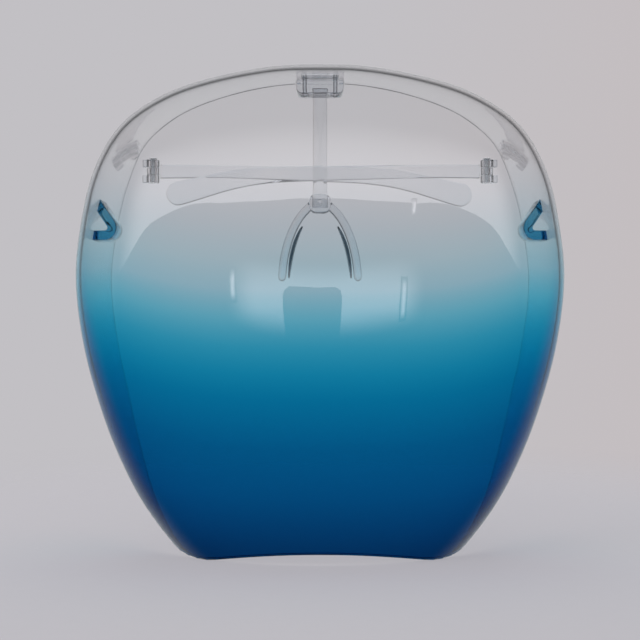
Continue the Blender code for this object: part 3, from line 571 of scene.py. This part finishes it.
def make_end_piece(side, word, cavity, finish):
    """A block bonded inside the wall, with the hinge's high and low knuckles. Known fault: the
    INTERSECT with the cavity comes out empty, so only the two knuckles are left of it."""
    hinge = HINGES[f"{word}_temple"]
    low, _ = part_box(f"{word}_end_piece")
    heights = knuckle_heights()
    top = hinge.z + heights[2][1]
    inner = abs(hinge.x) + 3.6 * MM
    outline = round_corners([
        (BLOCK_REACH, low.z, 0), (BLOCK_REACH, hinge.z + 0.7 * MM, 0),
        (inner + 6.4 * MM, hinge.z + 0.7 * MM, 2 * MM), (inner + 3 * MM, top, 0.8 * MM),
        (inner, top, 0.5 * MM), (inner, hinge.z - 5.6 * MM, 3 * MM), (inner + 2.2 * MM, low.z, 4 * MM),
    ][::-1], 0.5 * MM)
    piece = plate(f"{word}_hinge_block", outline, hinge.y - 12 * MM, hinge.y + 0.6 * MM, 0.45 * MM,
                  lambda u, v, w: (side * u, w, v), finish)
    combine(piece, put_in_scene("cavity_copy", cavity), "INTERSECT")
    for level in (0, 2):
        floor, ceiling = heights[level]
        barrel = rounded_cylinder("barrel", KNUCKLE_RADIUS, floor, ceiling, 0.35 * MM)
        place(barrel, hinge)
        combine(piece, barrel, "UNION")
        ends = sorted((hinge.x, hinge.x + side * 4.6 * MM))
        web = rounded_box("web", (ends[0], hinge.y - KNUCKLE_RADIUS * 0.96, hinge.z + floor),
                          (ends[1], hinge.y + 0.4 * MM, hinge.z + ceiling), 0.25 * MM)
        combine(piece, web, "UNION")
    bore = rounded_cylinder("bore", PIN_RADIUS + CLEARANCE, heights[0][0] - MM, heights[2][1] + MM)
    place(bore, hinge)
    combine(piece, bore, "DIFFERENCE")
    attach(piece, "visor")
    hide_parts(f"{word}_end_piece")


def make_hinge_screw(side, word, finish):
    hinge = HINGES[f"{word}_temple"]
    heights = knuckle_heights()
    low, seat = heights[0][0] + 0.2 * MM, heights[2][1] + CLEARANCE
    crown = [(PIN_HEAD_RADIUS * math.cos(t), seat + PIN_HEAD_HEIGHT * (0.45 + 0.55 * math.sin(t)))
             for t in np.linspace(0, math.pi / 2, 7)[:-1]]
    profile = [(0, low), (PIN_RADIUS * 0.7, low), (PIN_RADIUS, low + 0.35 * MM), (PIN_RADIUS, seat),
               (PIN_HEAD_RADIUS * 0.96, seat), (PIN_HEAD_RADIUS, seat + 0.1 * MM)]
    screw = turned(f"{word}_screw", profile + crown + [(0, seat + PIN_HEAD_HEIGHT)], 56, finish)
    slot = rounded_box("slot", (-3 * MM, -0.25 * MM, seat + PIN_HEAD_HEIGHT * 0.5),
                       (3 * MM, 0.25 * MM, seat + PIN_HEAD_HEIGHT * 3), 0.05 * MM)
    slot.data.transform(Matrix.Rotation(math.radians(25) * side, 4, "Z"))
    combine(screw, slot, "DIFFERENCE", 30)
    place(screw, hinge)
    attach(screw, "visor")
    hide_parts(f"{word}_hinge_screw")


def along_temple(knots, reach):
    table = np.array(knots, float) * MM
    nearby = reach + np.linspace(-TEMPLE_SMOOTHING, TEMPLE_SMOOTHING, 25)
    return float(np.interp(nearby, table[:, 0], table[:, 1]).mean())


def temple_outline():
    """The blade seen from the side as (distance from the hinge, height), with a round tip."""
    end = TEMPLE_LENGTH - TEMPLE_HALF_HEIGHTS[-1][1] * MM
    reaches = np.concatenate([[TEMPLE_ROOT, 6 * MM, 10 * MM], np.linspace(14 * MM, end, 60)])
    drops = np.array([-along_temple(TEMPLE_DROPS, r) for r in reaches])
    slopes = np.gradient(drops, reaches)
    top, low = [], []
    for reach, drop, slope in zip(reaches, drops, slopes):
        lean = math.atan(slope) if reach > TEMPLE_ROOT else 0.0
        half = along_temple(TEMPLE_HALF_HEIGHTS, reach)
        top.append((reach - math.sin(lean) * half, drop + math.cos(lean) * half))
        low.append((reach + math.sin(lean) * half, drop - math.cos(lean) * half))
    lean = math.atan(slopes[-1])
    half = along_temple(TEMPLE_HALF_HEIGHTS, end)
    turns = np.linspace(math.pi / 2 + lean, -math.pi / 2 + lean, 30)[1:-1]
    tip = [(end + half * math.cos(t), drops[-1] + half * math.sin(t)) for t in turns]
    return top + tip + low[::-1]


def make_temple(side, word, finish):
    hinge = HINGES[f"{word}_temple"]
    half = TEMPLE_THICKNESS / 2
    temple = plate(f"{word}_arm", temple_outline(), -half, half, 0.85 * MM,
                   lambda u, v, w: (w, u, v), finish, 6)
    low, high = knuckle_heights()[1]
    barrel = rounded_cylinder("barrel", KNUCKLE_RADIUS, low, high, 0.35 * MM)
    neck = rounded_box("neck", (-half * 0.9, 0, low), (half * 0.9, TEMPLE_ROOT + 2 * MM, high), 0.3 * MM)
    combine(temple, barrel, "UNION")
    combine(temple, neck, "UNION")
    combine(temple, rounded_cylinder("bore", PIN_RADIUS + CLEARANCE, low - MM, high + MM), "DIFFERENCE")
    turn = math.radians(90) + TEMPLE_LEAN if side > 0 else -math.radians(90) + TEMPLE_LEAN
    place(temple, hinge, turn)
    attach(temple, f"{word}_temple")
    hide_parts(f"{word}_temple")


# --- Nose bracket --------------------------------------------------------------------------
def peg_centre(word):
    low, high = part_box(f"{word}_clip_peg")
    return (low.x + high.x) / 2, (low.y + high.y) / 2


def make_clip(finish):
    """A C-shaped clip over the rear edge of the brow, with a socket for the stem."""
    low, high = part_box("bridge_clip")
    slot_low, slot_high, web_y = low.z + 5.9 * MM, low.z + 8.95 * MM, low.y + 7.4 * MM
    body = [(low.x, slot_low), (low.x, low.z, 4.2 * MM), (high.x, low.z, 4.2 * MM), (high.x, slot_low)]
    clip = plate("brow_clip", round_corners(body, 0.4 * MM, 10), low.y, high.y, 0.4 * MM,
                 lambda u, v, w: (u, w, v), finish)
    top = 8 * MM
    jaw = rounded_box("jaw", (-top, low.y, slot_high), (top, high.y, high.z), 0.5 * MM, None, 0.9 * MM)
    inset = 0.02 * MM
    web = rounded_box("web", (-top + inset, web_y, slot_low - MM),
                      (top - inset, high.y - inset, slot_high + MM), 0.2 * MM)
    combine(clip, jaw, "UNION")
    combine(clip, web, "UNION")
    stem_low, stem_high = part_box("nose_stem")
    gap = Vector((0.15 * MM, 0.15 * MM, 0.15 * MM))
    socket_low, socket_high = stem_low - gap, stem_high + gap
    socket_low.z = low.z - MM
    combine(clip, rounded_box("socket", socket_low, socket_high, 0.2 * MM), "DIFFERENCE")
    for _, word in SIDES:
        bore = rounded_cylinder("bore", PEG_SHANK + 0.08 * MM, low.z - MM, high.z - 0.9 * MM)
        place(bore, (*peg_centre(word), 0))
        combine(clip, bore, "DIFFERENCE")
    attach(clip, "visor")
    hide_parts("bridge_clip")


def make_clip_peg(word, finish):
    low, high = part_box(f"{word}_clip_peg")
    radius, head = PEG_SHANK, (high.x - low.x) / 2
    seat = low.z + 0.9 * MM
    profile = [(0, low.z), (head * 0.55, low.z + 0.05 * MM), (head * 0.82, low.z + 0.2 * MM),
               (head * 0.96, low.z + 0.42 * MM), (head, low.z + 0.62 * MM), (head * 0.98, seat),
               (radius, seat), (radius, high.z - 0.4 * MM), (radius * 0.8, high.z - 0.1 * MM),
               (radius * 0.5, high.z), (0, high.z)]
    peg = turned(f"{word}_peg", profile, 48, finish)
    place(peg, (*peg_centre(word), 0))
    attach(peg, "visor")
    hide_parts(f"{word}_clip_peg")


def cross_hole(radius, centre):
    hole = rounded_cylinder("hole", radius, -9 * MM, 9 * MM)
    hole.data.transform(Matrix.Translation(centre) @ Matrix.Rotation(math.pi / 2, 4, "X"))
    return hole


def make_stem(finish):
    low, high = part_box("nose_stem")
    stem = rounded_box("bracket_stem", low, high, 0.45 * MM, finish, 0.5 * MM)
    centre = Vector((0, (low.y + high.y) / 2, SADDLE_CROWN_Z))
    combine(stem, cross_hole(1.2 * MM, centre), "DIFFERENCE")
    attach(stem, "visor")
    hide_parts("nose_stem")


def leg_point(share, stem_y):
    """A point of the saddle's +X leg, from the middle of its crown (0) to its foot (1)."""
    z = SADDLE_CROWN_Z - (SADDLE_CROWN_Z - SADDLE_FEET_Z) * share ** 1.55
    x = SADDLE_FEET_X * (1 - (1 - share) ** 2.1) * (0.82 + 0.18 * share)
    return np.array([x, stem_y + SADDLE_FEET_BACK * share ** 2.2, z])


def across_path(points):
    """Unit vectors square to a path, in its own plane as seen from the front."""
    along = np.gradient(points, axis=0)
    across = np.stack([along[:, 2], 0 * along[:, 1], -along[:, 0]], axis=1)
    return across / np.linalg.norm(across, axis=1)[:, None]


def tube(name, centres, widths, depths, sides, finish, power=2.0):
    """A superelliptic section along a path, closed with domed ends."""
    points = []
    for centre, side, width, depth in zip(centres, across_path(centres), widths, depths):
        for step in range(sides):
            turn = 2 * math.pi * (step + 0.5) / sides
            cosine, sine = math.cos(turn), math.sin(turn)
            swell = (abs(cosine) ** power + abs(sine) ** power) ** (-1 / power)
            reach = side * (width / 2 * cosine * swell)
            points.append(centre + reach + np.array([0, depth / 2 * sine * swell, 0]))
    faces = [tuple(range(sides)), tuple(range(len(points) - sides, len(points)))]
    for low in range(0, len(points) - sides, sides):
        faces += band(range(low, low + sides), range(low + sides, low + 2 * sides))
    return new_piece(name, points, faces, finish, 60)


def make_saddle(finish):
    """The arch over the nose, with a block round the stem's lower end."""
    stem_low, stem_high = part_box("nose_stem")
    stem_y = (stem_low.y + stem_high.y) / 2
    foot = np.sin(np.linspace(0.12, math.pi / 2, 9))
    shares = np.concatenate([np.linspace(0, 0.96, 44), 0.96 + 0.04 * foot])
    right = [leg_point(s, stem_y) for s in shares]
    path = [point * np.array([-1, 1, 1]) for point in right[:0:-1]] + right
    ends = np.concatenate([shares[:0:-1], shares])
    fall = np.clip((ends - 0.955) / 0.045, 0, 0.985)
    dome = np.sqrt(1 - fall ** 2)
    saddle = tube("nose_arch", path, SADDLE_WIDTH * dome, SADDLE_DEPTH * (1 + 0.25 * ends) * dome,
                  28, finish, 2.4)
    wide, deep = SADDLE_BLOCK_HALF
    block = rounded_box("block", (-wide, stem_y - deep, SADDLE_CROWN_Z - SADDLE_BLOCK_DOWN),
                        (wide, stem_y + deep, SADDLE_CROWN_Z + SADDLE_BLOCK_UP), 1.3 * MM, None, 3.4 * MM)
    combine(saddle, block, "UNION", 45)
    gap = 0.15 * MM
    socket = rounded_box("socket", (stem_low.x - gap, stem_low.y - gap, stem_low.z - gap),
                         (stem_high.x + gap, stem_high.y + gap, SADDLE_CROWN_Z + 6 * MM), 0.2 * MM)
    combine(saddle, socket, "DIFFERENCE", 45)
    combine(saddle, cross_hole(1.05 * MM, Vector((0, stem_y, SADDLE_CROWN_Z))), "DIFFERENCE", 45)
    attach(saddle, "visor")
    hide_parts("nose_saddle")


def make_snap_pin(finish):
    low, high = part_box("saddle_snap_pin")
    radius, half = (high.x - low.x) / 2, (high.y - low.y) / 2
    pin = rounded_cylinder("snap_pin", radius, -half, half, 0.25 * MM, 48, finish)
    centre = (low + high) / 2
    pin.data.transform(Matrix.Translation(centre) @ Matrix.Rotation(math.pi / 2, 4, "X"))
    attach(pin, "visor")
    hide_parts("saddle_snap_pin")


def make_pad(side, word, finish):
    """A soft pad along the nose side of one leg."""
    stem_low, stem_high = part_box("nose_stem")
    shares = np.linspace(PAD_SPAN[0], PAD_SPAN[1], 49)
    legs = np.array([leg_point(s, (stem_low.y + stem_high.y) / 2) for s in shares])
    reach = (SADDLE_WIDTH + PAD_THICKNESS) / 2 + PAD_GAP
    centres = (legs + across_path(legs) * reach) * np.array([side, 1, 1])
    centres[:, 1] += PAD_SET_BACK
    bulge = np.sqrt(np.clip(1 - np.linspace(-0.995, 0.995, len(shares)) ** 2, 0, 1))
    pad = tube(f"{word}_pad", centres, PAD_THICKNESS * (0.25 + 0.75 * bulge), PAD_DEPTH * bulge, 28, finish)
    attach(pad, "visor")
    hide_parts(f"{word}_nose_pad")


# --- Materials -----------------------------------------------------------------------------
class Nodes:
    """Short calls for building a node tree."""

    def __init__(self, tree):
        self.tree = tree
        tree.nodes.clear()

    def add(self, kind, inputs=None, **settings):
        node = self.tree.nodes.new(kind)
        for key, value in settings.items():
            setattr(node, key, value)
        for key, value in (inputs or {}).items():
            self.set(node.inputs[key], value)
        return node

    def set(self, socket, value):
        if hasattr(value, "is_output"):
            self.tree.links.new(value, socket)
        else:
            socket.default_value = value

    def math(self, operation, first, second=0.0, clamp=False):
        node = self.add("ShaderNodeMath", {0: first, 1: second}, operation=operation, use_clamp=clamp)
        return node.outputs[0]

    def ramp(self, factor, stops):
        node = self.add("ShaderNodeValToRGB", {"Fac": factor})
        elements = node.color_ramp.elements
        while len(elements) < len(stops):
            elements.new(0.5)
        for element, (position, colour) in zip(elements, stops):
            element.position = position
            element.color = (*colour, 1)
        return node.outputs["Color"]

    def noise(self, scale, detail, vector, roughness=0.55):
        inputs = {"Scale": scale, "Detail": detail, "Roughness": roughness, "Vector": vector}
        return self.add("ShaderNodeTexNoise", inputs).outputs["Fac"]

    def blend(self, factor, first, second):
        return self.add("ShaderNodeMixShader", {0: factor, 1: first, 2: second}).outputs[0]

    def mix(self, factor, first, second, **settings):
        inputs = {"Factor": factor, "A": first, "B": second}
        return self.add("ShaderNodeMix", inputs, data_type="RGBA", **settings).outputs["Result"]

    def ease(self, value, start, stop, low=0.0, high=1.0):
        """Goes smoothly from low to high while value goes from start to stop."""
        return self.add("ShaderNodeMapRange", {0: value, 1: start, 2: stop, 3: low, 4: high},
                        interpolation_type="SMOOTHSTEP").outputs[0]

    def absorb(self, colour, density):
        return self.add("ShaderNodeVolumeAbsorption", {"Color": colour, "Density": density}).outputs[0]

    def coords(self):
        return self.add("ShaderNodeTexCoord").outputs["Object"]


def new_material(name):
    made = bpy.data.materials.new(name)
    made.use_nodes = True
    return made, Nodes(made.node_tree)


def wear(nodes, coords, low, high):
    """Roughness of handled plastic: faint broad smears with a few finer ones."""
    smears = nodes.noise(38, 5, coords, 0.6)
    fine = nodes.noise(420, 3, coords)
    both = nodes.math("ADD", nodes.math("MULTIPLY", smears, 0.75), nodes.math("MULTIPLY", fine, 0.25))
    return nodes.add("ShaderNodeMapRange", {0: both, 1: 0.35, 2: 0.7, 3: low, 4: high}).outputs[0]


def moulding_bump(nodes, coords, scale, distance):
    """The slight waviness of a moulded surface."""
    waves = nodes.noise(scale, 2, coords)
    return nodes.add("ShaderNodeBump", {"Strength": 0.25, "Distance": distance, "Height": waves}).outputs[0]


def see_through_shadow(nodes, surface, tint):
    """Light passes to what lies behind, coloured by the plastic."""
    shadow = nodes.add("ShaderNodeLightPath").outputs["Is Shadow Ray"]
    clear = nodes.add("ShaderNodeBsdfTransparent", {"Color": tint}).outputs[0]
    return nodes.blend(shadow, surface, clear)


def lens_material(name, deeper, wall_tint, haze, shade=(1, 1, 1, 1)):
    """Tinted plastic. Its colour is that of a place deeper metres further down the lens,
    darkened by shade. haze is the share of a painted sheen on the side walls: a matt, lit
    layer that stands in for reflected light."""
    made, nodes = new_material(name)
    coords = nodes.coords()
    place = nodes.add("ShaderNodeSeparateXYZ", {0: coords}).outputs
    aside = nodes.math("MINIMUM", nodes.math("ABSOLUTE", place["X"]), TINT_CURVE_END)
    curve = nodes.math("MULTIPLY", nodes.math("POWER", aside, 3.0), TINT_CURVE)
    height = nodes.math("SUBTRACT", nodes.math("SUBTRACT", place["Z"], curve), deeper)
    strength = nodes.ease(place["Y"], FRONT_Y + TINT_FADE[0], FRONT_Y + TINT_FADE[1], 1.0, wall_tint)
    span = LENS_TINT[-1][0] * MM
    drift = nodes.math("MULTIPLY", nodes.math("SUBTRACT", nodes.noise(9, 2, coords), 0.5), 0.012)
    level = nodes.math("ADD", nodes.math("DIVIDE", height, span), drift, True)
    skin, core = [], []
    for z, tint in LENS_TINT:
        density = [-math.log(c) for c in tint]
        skin.append((z * MM / span, [math.exp(-d * (1 - TINT_IN_VOLUME)) for d in density]))
        core.append((z * MM / span, [1 - d / 8 for d in density]))
    tint = nodes.add("ShaderNodeGamma", {"Color": nodes.ramp(level, skin), "Gamma": strength}).outputs[0]
    thin = nodes.add("ShaderNodeGamma", {"Color": tint, "Gamma": 0.5}).outputs[0]
    tint = nodes.mix(1.0, tint, shade, blend_type="MULTIPLY")
    surface = nodes.add("ShaderNodeBsdfPrincipled", {
        "Base Color": tint, "Roughness": wear(nodes, coords, 0.0, 0.02), "IOR": 1.5,
        "Transmission Weight": 1.0, "Normal": moulding_bump(nodes, coords, 7, 0.0006),
    }).outputs[0]
    # Painted sheen: a matt teal layer on the side walls, thinner above, that stands in for light reflected
    # off the lens.
    back = nodes.ease(place["Y"], FRONT_Y + PAINTED_SHEEN_FADE[0], FRONT_Y + PAINTED_SHEEN_FADE[1], 0.0, haze)
    low = nodes.ease(place["Z"], *PAINTED_SHEEN_HEIGHTS, 1.0, PAINTED_SHEEN_LEFT_ABOVE)
    sheen_colour = nodes.ramp(level, [(0.0, (0.20, 0.82, 0.82)), (0.45, (0.26, 0.86, 0.86)),
                              (0.85, (0.80, 0.90, 0.92))])
    painted_sheen = nodes.add("ShaderNodeBsdfDiffuse", {"Color": sheen_colour}).outputs[0]
    surface = nodes.blend(nodes.math("MULTIPLY", back, low), surface, painted_sheen)
    density = nodes.math("MULTIPLY", strength, TINT_IN_VOLUME * 8 / LENS_THICKNESS)
    depth = nodes.absorb(nodes.ramp(level, core), density)
    nodes.add("ShaderNodeOutputMaterial", {
        "Surface": see_through_shadow(nodes, surface, thin), "Volume": depth,
    })
    return made


def clear_material():
    made, nodes = new_material("clear_plastic")
    coords = nodes.coords()
    cast = nodes.ramp(nodes.noise(26, 3, coords), [(0.3, (0.93, 0.945, 0.96)), (0.7, (0.985, 0.988, 0.99))])
    surface = nodes.add("ShaderNodeBsdfPrincipled", {
        "Base Color": cast, "Roughness": wear(nodes, coords, 0.0, 0.02), "IOR": 1.57,
        "Transmission Weight": 1.0, "Normal": moulding_bump(nodes, coords, 60, 0.0002),
    }).outputs[0]
    haze = nodes.add("ShaderNodeBsdfTranslucent", {"Color": (0.9, 0.9, 0.93, 1)}).outputs[0]
    hazy = nodes.blend(0.015, surface, haze)
    body = nodes.absorb((0.80, 0.86, 0.90, 1), 28.0)
    nodes.add("ShaderNodeOutputMaterial", {
        "Surface": see_through_shadow(nodes, hazy, (0.93, 0.94, 0.95, 1)), "Volume": body,
    })
    return made


def silicone_material():
    made, nodes = new_material("clear_silicone")
    coords = nodes.coords()
    surface = nodes.add("ShaderNodeBsdfPrincipled", {
        "Base Color": (0.90, 0.93, 0.95, 1), "Roughness": wear(nodes, coords, 0.12, 0.26), "IOR": 1.41,
        "Transmission Weight": 0.93, "Normal": moulding_bump(nodes, coords, 900, 0.00003),
    }).outputs[0]
    body = nodes.absorb((0.45, 0.53, 0.58, 1), 420.0)
    nodes.add("ShaderNodeOutputMaterial", {
        "Surface": see_through_shadow(nodes, surface, (0.85, 0.88, 0.9, 1)), "Volume": body,
    })
    return made


def steel_material():
    made, nodes = new_material("screw_steel")
    coords = nodes.coords()
    turning = nodes.add("ShaderNodeTexWave", {
        "Scale": 900.0, "Distortion": 1.5, "Detail": 2.0, "Vector": coords,
    }, wave_type="RINGS", rings_direction="Z").outputs["Fac"]
    tone = nodes.ramp(turning, [(0.0, (0.70, 0.71, 0.73)), (1.0, (0.86, 0.87, 0.89))])
    bump = nodes.add("ShaderNodeBump", {"Strength": 0.2, "Distance": 0.00002, "Height": turning}).outputs[0]
    surface = nodes.add("ShaderNodeBsdfPrincipled", {
        "Base Color": tone, "Metallic": 0.45, "Roughness": wear(nodes, coords, 0.25, 0.45), "Normal": bump,
    }).outputs[0]
    nodes.add("ShaderNodeOutputMaterial", {"Surface": surface})
    return made


# --- Floor, backdrop, lights and camera ----------------------------------------------------
def make_floor():
    """A pale floor that fades into the backdrop away from the object."""
    made, nodes = new_material("pale_floor")
    coords = nodes.coords()
    away = nodes.add("ShaderNodeVectorMath", {0: coords}, operation="LENGTH").outputs["Value"]
    fade = nodes.ease(away, *FLOOR_FADE)
    paper = nodes.ramp(nodes.noise(160, 6, coords, 0.7),
                       [(0.3, (0.70, 0.687, 0.71)), (0.7, (0.73, 0.715, 0.74))])
    matt = nodes.add("ShaderNodeBsdfDiffuse", {"Color": paper, "Roughness": 0.4}).outputs[0]
    lit = nodes.add("ShaderNodeEmission", {"Color": FLOOR_GLOW, "Strength": 1.0}).outputs[0]
    table = nodes.blend(FLOOR_GLOW_SHARE, matt, lit)
    clear = nodes.add("ShaderNodeBsdfTransparent").outputs[0]
    nodes.add("ShaderNodeOutputMaterial", {"Surface": nodes.blend(fade, table, clear)})
    bpy.ops.mesh.primitive_circle_add(vertices=96, radius=FLOOR_RADIUS, fill_type="NGON",
                                      location=(0, 0, FLOOR_LEVEL))
    floor = bpy.context.object
    floor.name = "floor"
    floor.data.materials.append(made)
    floor.visible_glossy = False


def make_world():
    """A pale backdrop ahead of the camera and a dim room behind it. Reflections and soft light
    see other versions of the room than the camera does."""
    world = bpy.data.worlds.new("studio")
    bpy.context.scene.world = world
    world.use_nodes = True
    nodes = Nodes(world.node_tree)
    view = nodes.add("ShaderNodeTexCoord").outputs["Camera"]
    ahead = nodes.add("ShaderNodeSeparateXYZ", {0: view}).outputs
    pale = nodes.ramp(nodes.math("ADD", nodes.math("MULTIPLY", ahead["X"], 1.5), 0.5, True),
                      [(0.0, BACKGROUND), (0.55, BACKGROUND), (1.0, BACKGROUND_RIGHT)])
    upward = nodes.math("MULTIPLY", nodes.math("MAXIMUM", ahead["Y"], 0.0), DARKER_ABOVE)
    forward = nodes.math("SUBTRACT", ahead["Z"], upward)
    dim = nodes.mix(nodes.ease(forward, *BACKDROP_EDGE), DARK_ROOM, pale)
    rays = nodes.add("ShaderNodeLightPath").outputs
    sheen = nodes.mix(nodes.ease(ahead["Z"], *SHEEN_EDGE), DARK_ROOM, SIDE_SHEEN)
    room = nodes.mix(rays["Is Reflection Ray"], dim, sheen)
    seen = nodes.mix(rays["Is Diffuse Ray"], room, SOFT_LIGHT)
    final = nodes.mix(rays["Is Camera Ray"], seen, pale)
    shade = nodes.add("ShaderNodeBackground", {"Color": final, "Strength": 1.0}).outputs[0]
    nodes.add("ShaderNodeOutputWorld", {"Surface": shade})


def area_light(name, location, target, size, power, colour):
    light = bpy.data.lights.new(name, "AREA")
    light.shape = "RECTANGLE"
    light.size, light.size_y = size
    light.energy = power
    light.color = colour
    lamp = put_in_scene(name, light)
    lamp.location = location
    lamp.rotation_euler = (Vector(target) - Vector(location)).to_track_quat("-Z", "Y").to_euler()
    lamp.visible_camera = False
    lamp.visible_glossy = False
    lamp.visible_transmission = False


def glow_card(name, outline, y, strength, soft):
    """A softbox seen only as a reflection: a flat outline of (x, z) points facing the lens. Its
    light fades out over the distances soft = (sides, top, bottom) from its bounding box."""
    made, nodes = new_material(name)
    place = nodes.add("ShaderNodeSeparateXYZ", {0: nodes.coords()}).outputs
    xs, zs = [point[0] for point in outline], [point[1] for point in outline]
    fades = [(place["X"], min(xs), soft[0]), (place["X"], max(xs), -soft[0]),
             (place["Z"], max(zs), -soft[1]), (place["Z"], min(zs), soft[2])]
    level = strength
    for axis, edge, reach in fades:
        low, high = sorted((edge, edge + reach))
        ends = (0.0, 1.0) if reach > 0 else (1.0, 0.0)
        level = nodes.math("MULTIPLY", nodes.ease(axis, low, high, *ends), level)
    glow = nodes.add("ShaderNodeEmission", {"Color": (1.0, 0.98, 1.0, 1), "Strength": level}).outputs[0]
    nodes.add("ShaderNodeOutputMaterial", {"Surface": glow})
    mesh = bpy.data.meshes.new(name)
    mesh.from_pydata([(x, y, z) for x, z in outline], [], [tuple(range(len(outline)))])
    mesh.materials.append(made)
    card = put_in_scene(name, mesh)
    card.visible_camera = False
    card.visible_diffuse = False
    card.visible_transmission = False
    card.visible_shadow = False


def upper_outline():
    """A wide softbox whose lower edge is an arch."""
    across = np.linspace(-1.0, 1.0, 41)
    arch = [(x, ARCH_HEIGHT - ARCH_DROP * x ** 2) for x in across]
    return arch + [(1.0, UPPER_TOP), (-1.0, UPPER_TOP)]


def make_lights():
    area_light("ceiling", (0.0, 0.22, 0.75), (0, 0, 0.08), (0.7, 0.5), 3.2, (1.0, 0.985, 0.99))
    area_light("fill", (-0.5, -0.35, 0.55), (0, 0, 0.1), (0.5, 0.5), 1.2, (0.97, 0.98, 1.0))
    y = FRONT_Y - CARD_DISTANCE
    window = [(-0.215, 0.052), (-0.070, 0.052), (-0.070, 0.115), (-0.066, 0.126), (-0.055, 0.132),
              (0.024, 0.132), (0.034, 0.126), (0.038, 0.115), (0.038, 0.052), (0.250, 0.052),
              (0.250, 0.190), (-0.215, 0.190)]
    glow_card("window_card", window, y, CARD_STRENGTH, (90 * MM, 70 * MM, 50 * MM))
    glow_card("upper_card", upper_outline(), y, CARD_STRENGTH, (400 * MM, 500 * MM, MM))
    lamp = [(-0.20, 0.40), (0.26, 0.40), (0.26, 0.86), (-0.20, 0.86)]
    glow_card("lamp_card", lamp, y - MM, LAMP_STRENGTH, (110 * MM, 180 * MM, 90 * MM))
    for name, x, low, high in (("left_strip", -0.190, 0.098, 0.165), ("right_strip", 0.182, 0.068, 0.150),
                               ("high_strip", 0.200, 0.300, 0.370)):
        left, right = x - STRIP_HALF_WIDTH, x + STRIP_HALF_WIDTH
        strip = [(left, low), (right, low), (right, high), (left, high)]
        glow_card(name, strip, y + MM, STRIP_STRENGTH, (9 * MM, 20 * MM, 20 * MM))


def make_camera():
    """Level with the middle of the face, looking straight back through the lens."""
    data = bpy.data.cameras.new("camera")
    data.sensor_width = 36
    data.lens = CAMERA_LENS
    data.clip_start = 0.01
    camera = put_in_scene("camera", data)
    camera.location = (0.0, FRONT_Y - CAMERA_DISTANCE, LIFT + CAMERA_HEIGHT)
    camera.rotation_euler = (math.radians(90), 0, 0)
    bpy.context.scene.camera = camera


def set_look():
    scene = bpy.context.scene
    scene.view_settings.view_transform = "Standard"
    scene.view_settings.look = "None"
    scene.cycles.max_bounces = 24
    scene.cycles.transmission_bounces = 20
    scene.cycles.transparent_max_bounces = 24
    scene.cycles.glossy_bounces = 6
    scene.cycles.diffuse_bounces = 3
    scene.cycles.caustics_refractive = True
    scene.cycles.caustics_reflective = False


def build():
    points, quads, rim = lens_surface()
    clear, steel, soft = clear_material(), steel_material(), silicone_material()
    make_lens(points, quads, rim, lens_material("tinted_polycarbonate", 0, WALL_TINT, PAINTED_WALL_SHEEN),
              lens_material("tinted_ribs", RIB_DEEPER, 1.0, 0.0, RIB_SHADE))
    cavity = lens_plug("cavity", points, quads, rim, LENS_THICKNESS + 0.12 * MM)
    for side, word in SIDES:
        make_end_piece(side, word, cavity.data, clear)
        make_hinge_screw(side, word, steel)
        make_temple(side, word, clear)
        make_clip_peg(word, clear)
        make_pad(side, word, soft)
    bpy.data.objects.remove(cavity)
    make_clip(clear)
    make_stem(clear)
    make_saddle(clear)
    make_snap_pin(clear)
    make_floor()
    make_world()
    make_lights()
    make_camera()
    set_look()


build()
